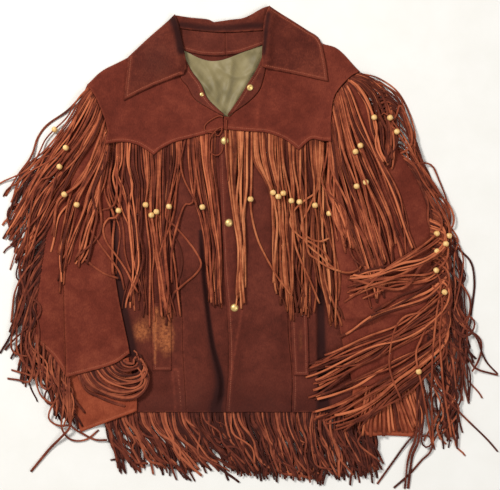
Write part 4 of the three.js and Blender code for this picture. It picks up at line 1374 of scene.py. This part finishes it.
CUFF_LEFT_OUTER = [
    [(-371, -160), (-376, -190), (-366, -215), (-350, -245), (-345, -275), (-352, -292)],
    [(-358, -171), (-362, -200), (-350, -230), (-335, -255), (-325, -290), (-315, -305)],
    [(-343, -185), (-345, -215), (-338, -240), (-325, -262), (-312, -290)],
    [(-328, -203), (-330, -230), (-322, -255), (-316, -280), (-305, -310)],
    [(-320, -217), (-318, -240), (-312, -262), (-308, -295)],
]
CUFF_LEFT_LOOPS = [
    [(-334, -190), (-333, -225), (-335, -255), (-350, -285), (-350, -300), (-335, -309), (-312, -308)],
    [(-322, -215), (-324, -250), (-325, -280), (-329, -310), (-320, -330), (-305, -337), (-285, -334),
     (-265, -318)],
    [(-318, -215), (-318, -270), (-312, -308), (-290, -325), (-270, -335), (-250, -335)],
]
CUFF_LEFT_STICK = [(-316, -215), (-314, -265), (-313, -308), (-328, -328), (-350, -350), (-384, -391)]
CUFF_LEFT_INNER = [
    [(-304, -214), (-294, -238), (-270, -254), (-238, -262), (-206, -260), (-186, -248), (-179, -228),
     (-190, -212)],
    [(-288, -210), (-272, -234), (-246, -248), (-216, -251), (-191, -243), (-181, -225), (-190, -206)],
    [(-270, -205), (-256, -225), (-232, -238), (-206, -239), (-187, -229), (-183, -211), (-194, -200)],
    [(-250, -200), (-236, -217), (-214, -226), (-195, -221), (-187, -205), (-196, -194)],
    [(-234, -195), (-222, -208), (-206, -211), (-193, -201), (-196, -187)],
    [(-220, -190), (-211, -199), (-202, -196), (-197, -184), (-201, -177)],
]
CUFF_LEFT_SINGLE = [(-298, -214), (-288, -245), (-265, -258), (-240, -268), (-218, -275)]

ARMHOLE_RIGHT_OUTER = [
    [(185, 309), (215, 296), (240, 275), (253, 245), (258, 215), (255, 180), (245, 150), (238, 133)],
    [(179, 303), (205, 292), (230, 270), (243, 240), (247, 205), (242, 170), (236, 140)],
    [(173, 298), (195, 285), (215, 262), (226, 235), (230, 205), (228, 170), (232, 140)],
    [(169, 295), (184, 275), (198, 248), (208, 215), (218, 180), (232, 140), (238, 118)],
]
ARMHOLE_RIGHT_MAIN = [
    [(167, 294), (180, 270), (195, 235), (215, 190), (240, 135), (262, 80), (282, 30), (300, -8)],
    [(162, 289), (172, 262), (186, 215), (208, 165), (232, 110), (252, 60), (268, 20), (280, -20)],
    [(156, 283), (163, 250), (175, 200), (197, 145), (220, 90), (238, 40), (250, 0), (258, -35)],
    [(149, 273), (156, 235), (168, 180), (190, 120), (208, 70), (222, 30), (232, -10), (240, -40)],
    [(144, 264), (151, 215), (160, 160), (178, 100), (195, 50), (210, 0), (222, -40), (228, -110)],
    [(139, 250), (146, 200), (152, 145), (166, 90), (182, 45), (196, 5), (206, -38), (215, -100)],
    [(136, 230), (142, 185), (147, 140), (157, 90), (170, 45), (182, 0), (180, -5)],
    [(135, 208), (140, 170), (142, 130), (148, 90), (158, 50), (168, 10), (165, 0)],
    [(135, 191), (140, 150), (139, 110), (142, 75), (146, 50), (152, 15), (158, -5)],
]
ARMHOLE_RIGHT_BEADS = [(216, 228), (192, 179), (183, 168), (201, 115), (185, 108)]

SHOULDER_RIGHT_FRINGE = [
    [(190, 308), (222, 300), (248, 280), (265, 255), (278, 225), (284, 200), (282, 175), (290, 150),
     (302, 125)],
    [(205, 270), (235, 270), (258, 252), (270, 225), (278, 195), (286, 165), (300, 130), (318, 105)],
    [(232, 218), (256, 228), (270, 212), (285, 180), (296, 150), (310, 120), (330, 95), (345, 70)],
    [(254, 182), (275, 168), (290, 140), (305, 115), (325, 90), (345, 65), (355, 45), (352, 20)],
    [(276, 146), (298, 125), (312, 100), (330, 75), (345, 50), (352, 20), (350, -10)],
    [(292, 121), (310, 95), (322, 70), (332, 40), (335, 10), (333, -20)],
    [(305, 88), (320, 60), (328, 30), (330, 0), (325, -40)],
]
SHOULDER_RIGHT_LOOPS = [
    [(240, 208), (255, 232), (262, 250), (278, 215), (283, 190), (277, 174), (263, 166)],
    [(300, 100), (325, 95), (345, 80), (355, 60), (356, 45), (350, 35), (340, 45)],
]
SHOULDER_RIGHT_BEADS = [(243, 227), (255, 203), (347, 22)]

SLEEVE_RIGHT_SWEEPS = [
    [(311, 72), (330, 62), (333, 40), (315, 18), (290, -2), (243, -34), (190, -78), (167, -97)],
    [(313, 46), (336, 35), (338, 12), (318, -8), (285, -28), (250, -40), (205, -50), (156, -52)],
    [(315, 25), (340, 12), (342, -12), (318, -32), (280, -48), (240, -58), (200, -66), (160, -72)],
    [(317, 5), (342, -10), (344, -35), (322, -56), (290, -75), (255, -92), (225, -112), (204, -128)],
    [(318, -20), (344, -38), (345, -66), (322, -92), (274, -125), (197, -163), (130, -188), (86, -200)],
    [(317, -45), (345, -62), (346, -92), (318, -120), (265, -150), (190, -188), (140, -206), (87, -217)],
    [(316, -70), (344, -88), (345, -118), (315, -148), (262, -180), (190, -215), (130, -238), (87, -248)],
    [(313, -95), (342, -112), (343, -142), (312, -172), (262, -205), (200, -245), (150, -272), (95, -293)],
    [(309, -120), (338, -138), (340, -168), (308, -200), (265, -235), (215, -275), (170, -298), (131, -303)],
    [(304, -145), (334, -165), (334, -195), (300, -230), (262, -262), (220, -290), (185, -310), (162, -333)],
]
SLEEVE_RIGHT_SINGLES = [
    [(316, -30), (332, -60), (324, -120), (317, -200), (318, -280), (320, -343)],
    [(315, -60), (334, -90), (330, -150), (336, -230), (345, -290), (352, -330)],
    [(314, -85), (303, -108), (268, -120), (249, -150), (243, -209), (264, -266)],
    [(311, -130), (298, -160), (290, -189), (302, -250), (318, -343)],
]
SLEEVE_RIGHT_BEADS = [(325, 26), (340, 8), (325, -5), (324, -38), (338, -76), (293, -214)]

CUFF_RIGHT_OUTER = [
    [(345, 50), (365, 20), (376, -20), (378, -60), (372, -95), (385, -120), (403, -144)],
    [(328, 10), (350, -20), (362, -60), (368, -100), (376, -140), (392, -200)],
    [(319, -42), (358, -90), (365, -150), (355, -220), (340, -260)],
    [(319, -62), (355, -110), (375, -170), (385, -230), (392, -270), (396, -295)],
    [(316, -102), (335, -150), (340, -200), (330, -250), (318, -300), (317, -357)],
    [(313, -132), (345, -170), (355, -220), (345, -280), (330, -348)],
    [(307, -175), (330, -210), (350, -250), (360, -290), (372, -335)],
    [(300, -215), (318, -250), (332, -290), (335, -320), (345, -345)],
]
CUFF_RIGHT_LOOPS = [
    [(318, -62), (345, -95), (370, -130), (380, -118), (392, -128), (388, -145), (372, -155), (362, -145),
     (365, -128)],
    [(314, -95), (345, -130), (375, -152), (390, -148), (403, -160), (405, -180), (398, -200), (388, -215)],
    [(317, -75), (365, -120), (395, -155), (405, -180), (415, -200), (434, -220)],
    [(312, -130), (350, -165), (380, -190), (395, -210), (434, -222)],
    [(300, -215), (330, -250), (380, -300), (415, -334), (434, -356)],
    [(296, -228), (302, -280), (300, -310), (275, -340), (250, -375), (223, -413)],
    [(300, -228), (318, -300), (318, -350), (300, -372), (280, -395), (252, -420)],
    [(302, -225), (303, -290), (300, -335), (308, -348), (318, -340), (312, -327), (302, -330)],
]
CUFF_RIGHT_PAIR = [
    [(292, -228), (292, -280), (290, -330), (280, -358), (275, -380), (271, -421)],
    [(298, -228), (297, -285), (295, -335), (285, -362), (281, -385), (277, -421)],
]

CUFF_RIGHT_INNER = [
    [(203, -229), (198, -260), (190, -295), (185, -328)],
    [(220, -229), (219, -265), (215, -300), (214, -330)],
    [(240, -229), (243, -265), (248, -300), (250, -328)],
    [(258, -229), (264, -262), (275, -295), (285, -322)],
    [(275, -229), (284, -260), (295, -290), (300, -315)],
    [(296, -230), (303, -258), (306, -285), (304, -300)],
]

HEM = [
    [(-256, -281), (-256, -315), (-243, -350), (-225, -385)],
    [(-200, -281), (-190, -310), (-165, -340), (-130, -392)],
    [(-150, -281), (-142, -310), (-115, -350), (-85, -390)],
    [(-100, -281), (-92, -310), (-65, -340), (-20, -382)],
    [(-50, -281), (-45, -315), (-25, -350), (-5, -395)],
    [(0, -281), (5, -310), (25, -350), (45, -400)],
    [(60, -281), (65, -310), (80, -350), (100, -405)],
    [(120, -281), (115, -315), (125, -350), (150, -400)],
    [(170, -281), (175, -320), (190, -350), (205, -400)],
    [(215, -281), (215, -320), (222, -350), (235, -385)],
]
HEM_BEHIND = [moved(g, 3, 2)[:-1] + [(g[-1][0] - 10, g[-1][1] - 4)] for g in HEM]


def singles(lines, seed, tone=0.6, width=3.6):
    return [single(p, width, tone, seed + k) for k, p in enumerate(lines)]


def lay_hem(node, guides, seed, tone):
    # The strands laid first, underneath, get the darkest tone: painted shade between the strands above them.
    under = comb(guides, 60, seed + 500, pull=0.1, wander=8, stray=0.3, width=4.6, tone=0.1)
    over = comb(guides, 122, seed, pull=0.3, wander=6, stray=0.3, shorten=0.08, width=4.2, tone=tone)
    lay_fringe(node, under + over)


def lay_cuff_fringe():
    lay_fringe(
        "cuff_fringe_left_outer",
        # This first comb lies underneath with a dark tone: painted shade between the strands above it.
        comb(CUFF_LEFT_OUTER, 22, 340, pull=0.2, wander=11, stray=0.3, tone=0.2)
        + comb(CUFF_LEFT_OUTER, 24, 31, pull=0.4, wander=7, tone=0.42)
        + singles(CUFF_LEFT_LOOPS, 310, 0.6)
        + [single(CUFF_LEFT_STICK, 4.6, 0.6, 320, 2.4)],
    )
    lay_fringe(
        "cuff_fringe_left",
        comb(CUFF_LEFT_INNER, 30, 32, pull=0.2, wander=4, stray=0.08, width=4.5, tone=0.38)
        + [single(CUFF_LEFT_SINGLE, 4.6, 0.4, 330)],
    )
    lay_fringe(
        "cuff_fringe_right",
        comb(CUFF_RIGHT_INNER, 21, 33, pull=0.05, wander=1.6, stray=0.05, tone=0.62, width=5.4, vary=0.16),
    )


def lay_yoke_fringe():
    lay_fringe(
        "yoke_fringe_left",
        # This comb lies underneath with the darkest tone: painted shade between the strands above it.
        comb(YOKE_LEFT_OUTER, 10, 410, pull=0.1, wander=10, stray=0.3, tone=0.1)
        + comb(YOKE_LEFT_OUTER, 30, 41, pull=0.7, wander=8, stray=0.24, tone=0.44)
        + comb(YOKE_LEFT_INNER, 22, 42, pull=0.5, wander=4, tone=0.46)
        + singles(YOKE_LEFT_SINGLES, 420, 0.42),
        YOKE_LEFT_BEADS,
    )
    most = YOKE_RIGHT_SECOND + YOKE_RIGHT_THIRD + YOKE_RIGHT_FOURTH
    lay_fringe(
        "yoke_fringe_right",
        comb(YOKE_RIGHT_FIRST, 17, 43, pull=0.4, wander=6, stray=0.2, tone=0.62)
        # This comb lies underneath with the darkest tone: painted shade between the strands above it.
        + comb(most, 20, 440, pull=0.1, wander=9, stray=0.3, tone=0.1)
        + comb(YOKE_RIGHT_SECOND, 18, 44, pull=0.5, wander=8, stray=0.2, tone=0.38)
        + comb(YOKE_RIGHT_THIRD, 11, 45, pull=0.5, wander=8, stray=0.2, tone=0.38)
        + comb(YOKE_RIGHT_FOURTH, 12, 46, pull=0.5, wander=8, stray=0.2, tone=0.3)
        + singles(YOKE_RIGHT_SINGLES, 460, 0.62),
        YOKE_RIGHT_BEADS,
    )


def lay_sleeve_fringe():
    lay_fringe(
        "sleeve_fringe_left",
        comb(SLEEVE_LEFT_OUTER, 62, 47, pull=0.4, wander=9, stray=0.3, tone=0.36)
        + singles(SLEEVE_LEFT_SINGLES, 470, 0.6),
    )
    lay_fringe(
        "armhole_fringe_left",
        comb(ARMHOLE_LEFT_OUTER, 36, 48, pull=0.5, wander=10, stray=0.26, tone=0.36)
        + comb(ARMHOLE_LEFT_INNER, 26, 49, pull=0.5, wander=9, stray=0.24, tone=0.46),
        ARMHOLE_LEFT_BEADS,
    )
    lay_fringe(
        "cuff_fringe_right_outer",
        comb(CUFF_RIGHT_OUTER, 60, 50, pull=0.35, wander=11, stray=0.4, tone=0.24)
        + singles(CUFF_RIGHT_LOOPS, 500, 0.34)
        + singles(CUFF_RIGHT_PAIR, 510, 0.3, 4.6),
    )
    lay_fringe(
        "armhole_fringe_right",
        comb(ARMHOLE_RIGHT_OUTER, 28, 51, pull=0.4, wander=6, width=4.3, tone=0.26)
        # This comb lies underneath with a dark tone: painted shade between the strands above it.
        + comb(ARMHOLE_RIGHT_MAIN[:6], 18, 520, pull=0.2, wander=9, stray=0.2, tone=0.2)
        + comb(ARMHOLE_RIGHT_MAIN, 48, 52, pull=0.6, wander=7, stray=0.16, tone=0.55)
        + comb(ARMHOLE_RIGHT_MAIN[:5], 10, 521, pull=0.3, wander=7, tone=0.5),
        ARMHOLE_RIGHT_BEADS,
    )
    lay_fringe(
        "shoulder_fringe_right",
        comb(SHOULDER_RIGHT_FRINGE, 30, 53, pull=0.45, wander=8, stray=0.25, tone=0.3)
        + singles(SHOULDER_RIGHT_LOOPS, 530, 0.6),
        SHOULDER_RIGHT_BEADS,
    )
    lay_fringe(
        "sleeve_fringe_right",
        comb(SLEEVE_RIGHT_SWEEPS, 60, 54, pull=0.5, wander=8, stray=0.2, width=4.4, tone=0.46)
        + singles(SLEEVE_RIGHT_SINGLES, 540, 0.5),
        SLEEVE_RIGHT_BEADS,
    )


# ---------------------------------------------------------------- snaps, stitches and laces


SNAP_TURNS = 28


def turned(profile, centre):
    """A closed body of revolution about Z: its vertices and faces."""
    vertices, faces = [], []
    m = len(profile)
    for turn in range(SNAP_TURNS):
        angle = 2 * math.pi * turn / SNAP_TURNS
        for r, z in profile:
            x, y = centre[0] + r * math.cos(angle), centre[1] + r * math.sin(angle)
            vertices.append((x, y, centre[2] + z))
    top, bottom = SNAP_TURNS * m, SNAP_TURNS * m + 1
    vertices.append((centre[0], centre[1], centre[2] + profile[0][1]))
    vertices.append((centre[0], centre[1], centre[2] + profile[-1][1]))
    for turn in range(SNAP_TURNS):
        a, b = turn * m, ((turn + 1) % SNAP_TURNS) * m
        faces.append((top, a, b))
        faces.append((bottom, b + m - 1, a + m - 1))
        for k in range(m - 1):
            faces.append((a + k, a + k + 1, b + k + 1, b + k))
    return np.array(vertices), faces


CAP = [(0.8, 3.9), (2.4, 3.7), (4.0, 3.15), (5.2, 2.4), (6.1, 1.5), (6.7, 0.6), (7.0, -0.1), (6.6, -0.8),
       (3.0, -0.9)]
SOCKET = [(0.7, 0.5), (2.1, 0.6), (2.4, 1.4), (3.0, 2.0), (3.9, 1.9), (4.4, 1.2), (5.2, 1.0), (5.5, 0.4),
          (5.2, -0.5), (2.0, -0.6)]
STUD = [(0.6, 2.7), (1.3, 2.6), (1.7, 2.1), (1.5, 1.2), (1.9, 0.9), (3.1, 0.8), (3.5, 0.4), (3.3, -0.4),
        (1.2, -0.5)]


def place_snap(node, x, y, profile):
    radius = max(r for r, z in profile)
    around = ring_at(x, y, 0.8 * radius, 16)
    height = float(np.median(pile.at(np.r_[around[0], x], np.r_[around[1], y]))) + 0.1
    vertices, faces = turned(profile, (x, y, height))
    made = make_mesh(node + "_brass", vertices, faces, BRASS)
    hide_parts(node)
    for share in (0.0, 0.5, 0.95):
        r = share * radius
        high = height + np.interp(r, [p[0] for p in profile[:6]], [p[1] for p in profile[:6]])
        pile.raise_to(*ring_at(x, y, r, 16), high)
    return made


STITCH_PITCH = 3.6
STITCH_SIDES = 6
STITCH_DEPTH = 0.42
STITCH = [(-1.35, 0.05), (-0.9, 0.34), (0.0, 0.42), (0.9, 0.34), (1.35, 0.05)]  # along, radius


def stitches_of(piece):
    """The topstitching of a panel: one small capsule of thread per stitch, in its groove."""
    vertices, faces = [], []
    for edge in piece.stitched:
        side = left_of(unit(np.gradient(edge, axis=0)))
        probe = edge + side * STITCH_INSET
        sign = 1 if np.mean(inside(piece.loop, probe[:, 0], probe[:, 1])) >= 0.5 else -1
        line = resample(edge + side * STITCH_INSET * sign, STITCH_PITCH)
        gap = edge_gap(piece.loop, line[:, 0], line[:, 1])
        ok = inside(piece.loop, line[:, 0], line[:, 1]) & (gap > 0.5 * STITCH_INSET)
        run = unit(np.gradient(line, axis=0))
        for (x, y), (dx, dy) in zip(line[ok], run[ok]):
            high = piece.top_at(np.array([x]), np.array([y]))[0] - STITCH_DEPTH
            faces += tube_faces(len(vertices), len(STITCH), STITCH_SIDES)
            for along, radius in STITCH:
                for k in range(STITCH_SIDES):
                    angle = math.pi * k / 3
                    off = radius * math.cos(angle)
                    vertices.append((x + dx * along - dy * off, y + dy * along + dx * off,
                                     high + radius * math.sin(angle) * 0.8))
    if not vertices:
        return []
    return [make_mesh(piece.node + "_stitches", np.array(vertices), faces, THREAD)]


LACE_RADIUS = 1.2
LACE_LOOPS = [(-47, 229), (-53, 231), (-62, 228), (-73, 221), (-79, 214), (-79, 207), (-72, 203), (-63, 201),
              (-55, 197), (-49, 206), (-51, 211), (-58, 207), (-65, 199), (-70, 190), (-71, 178), (-69, 168),
              (-62, 163), (-54, 164), (-49, 170), (-47, 178)]
LACE_TAIL = [(-41, 224), (-41.5, 205), (-41, 180), (-40, 155), (-39, 135), (-38.5, 118)]


LACE_STEP = 1.6
LACE_SIDES = 8
LACE_LAG = 5  # the lace joins the pile this many steps later, so it doesn't climb on itself


def lace_centre(points):
    """The lace's centre line, resting on the pile and on its own earlier turns."""
    path = resample(points, LACE_STEP)
    z = np.zeros(len(path))
    for i, (x, y) in enumerate(path):
        if i >= LACE_LAG:
            k = i - LACE_LAG
            for r in (0.0, 0.7 * LACE_RADIUS):
                pile.raise_to(*ring_at(*path[k], r, LACE_SIDES), z[k] + LACE_RADIUS)
        around = pile.at(*ring_at(x, y, LACE_RADIUS, LACE_SIDES)).max()
        z[i] = max(around, pile.at(x, y)) + LACE_RADIUS + CLEAR
    floor = z.copy()
    for _ in range(12):
        mean = z.copy()
        mean[1:-1] = 0.5 * (z[:-2] + z[2:])
        z = np.maximum(floor, mean)
    return np.column_stack([path, z])


def lay_lace(node, points):
    """A round leather lace on the pile. Where it crosses itself the later part lies on top."""
    centre = lace_centre(points)
    tangent = unit(np.gradient(centre, axis=0))
    side = unit(np.cross((0, 0, 1.0), tangent))
    up = np.cross(tangent, side)
    angles = [2 * math.pi * k / LACE_SIDES for k in range(LACE_SIDES)]
    vertices = [c + LACE_RADIUS * (s * math.cos(a) + u * math.sin(a))
                for c, s, u in zip(centre, side, up) for a in angles]
    faces = tube_faces(0, len(centre), LACE_SIDES, flipped=True)
    made = make_mesh(node + "_cord", np.array(vertices), faces, LACE)
    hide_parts(node)


# ---------------------------------------------------------------- the jacket, from the table up

lay_hem("hem_fringe_back", HEM_BEHIND, 21, 0.25)
lay_back()
lay_neck()
lay_hem("hem_fringe_front", HEM, 22, 0.42)
lay_fronts()
lay_pockets()
lay_sleeves_under()
lay_cuffs()
lay_cuff_fringe()
lay_sleeves()
lay_yoke_fringe()
lay_sleeve_fringe()
lay_yokes()
lay_collar()

SNAPS = [
    place_snap("snap_neck", -44, 188, CAP),
    place_snap("snap_chest", -36.8, 44.7, CAP),
    place_snap("snap_waist", -27, -103.6, CAP),
]
SNAP_SOCKET = place_snap("snap_socket_open", 0, 281, SOCKET)
SNAP_STUD = place_snap("snap_stud_open", -84, 268.6, STUD)
lay_lace("neck_lace_loops", LACE_LOOPS)
lay_lace("neck_lace_tail", LACE_TAIL)

# ---------------------------------------------------------------- what goes with what

TRIMS = {
    "hem_fringe_back": ("back", FRINGE_DARK),
    "hem_fringe_front": ("front_right_centre", FRINGE_DARK),
    "yoke_fringe_left": ("yoke_left", FRINGE),
    "yoke_fringe_right": ("yoke_right", FRINGE_PALE),
    "armhole_fringe_left": ("sleeve_left_back", FRINGE),
    "armhole_fringe_right": ("sleeve_right_top", FRINGE),
    "sleeve_fringe_left": ("sleeve_left_under", FRINGE_DARK),
    "sleeve_fringe_right": ("sleeve_right_top", FRINGE),
    "shoulder_fringe_right": ("sleeve_right_under", FRINGE),
    "cuff_fringe_left_outer": ("cuff_left_under", FRINGE_DARK),
    "cuff_fringe_left": ("cuff_left", FRINGE_DARK),
    "cuff_fringe_right": ("cuff_right", FRINGE),
    "cuff_fringe_right_outer": ("cuff_right_under", FRINGE_DARK),
}
goes_with = {node: [] for node in panels}
for trim, (owner, trim_material) in TRIMS.items():
    goes_with[owner] += build_fringe(trim, trim_material)
for snap in SNAPS:
    goes_with["front_right_centre"].append(snap)
goes_with["neck_band_right"].append(SNAP_SOCKET)
goes_with["neck_band_left"].append(SNAP_STUD)
for node, piece in panels.items():
    goes_with[node] += stitches_of(piece)
    piece.declare(goes_with[node])

# ---------------------------------------------------------------- floor and light


FLOOR_HALF = 6.0  # metres, as is everything about the floor and the lights
FLOOR_TOP = -0.0004


def make_floor():
    s = Shader("Paper_Floor")
    grain = s.noise(60, 3)
    colour = s.ramp(grain, [(0.3, (248, 246, 240)), (0.7, (252, 250, 245))])
    s.finish(colour, 0.9)
    mesh = bpy.data.meshes.new("Floor")
    corners = [(-1, -1), (1, -1), (1, 1), (-1, 1)]
    mesh.from_pydata([(x * FLOOR_HALF, y * FLOOR_HALF, FLOOR_TOP) for x, y in corners], [], [(0, 1, 2, 3)])
    floor = bpy.data.objects.new("Floor", mesh)
    bpy.context.scene.collection.objects.link(floor)
    floor.data.materials.append(s.material)


def area_light(name, place, size, power, colour):
    data = bpy.data.lights.new(name, "AREA")
    data.shape = "DISK"
    data.size = size
    data.energy = power
    data.color = colour
    lamp = bpy.data.objects.new(name, data)
    lamp.location = place
    lamp.rotation_euler = (-Vector(place)).to_track_quat("-Z", "Y").to_euler()
    bpy.context.scene.collection.objects.link(lamp)


def make_world(strength):
    world = bpy.data.worlds.new("World")
    world.use_nodes = True
    background = world.node_tree.nodes["Background"]
    background.inputs["Color"].default_value = (1, 0.99, 0.97, 1)
    background.inputs["Strength"].default_value = strength
    bpy.context.scene.world = world


make_floor()
make_world(0.28)
area_light("Key", (-1.5, 1.3, 2.2), size=0.8, power=70, colour=(1.0, 0.985, 0.96))
area_light("Fill", (1.6, -0.9, 2.4), size=1.6, power=26, colour=(0.98, 0.985, 1.0))
bpy.context.scene.view_settings.view_transform = "Standard"
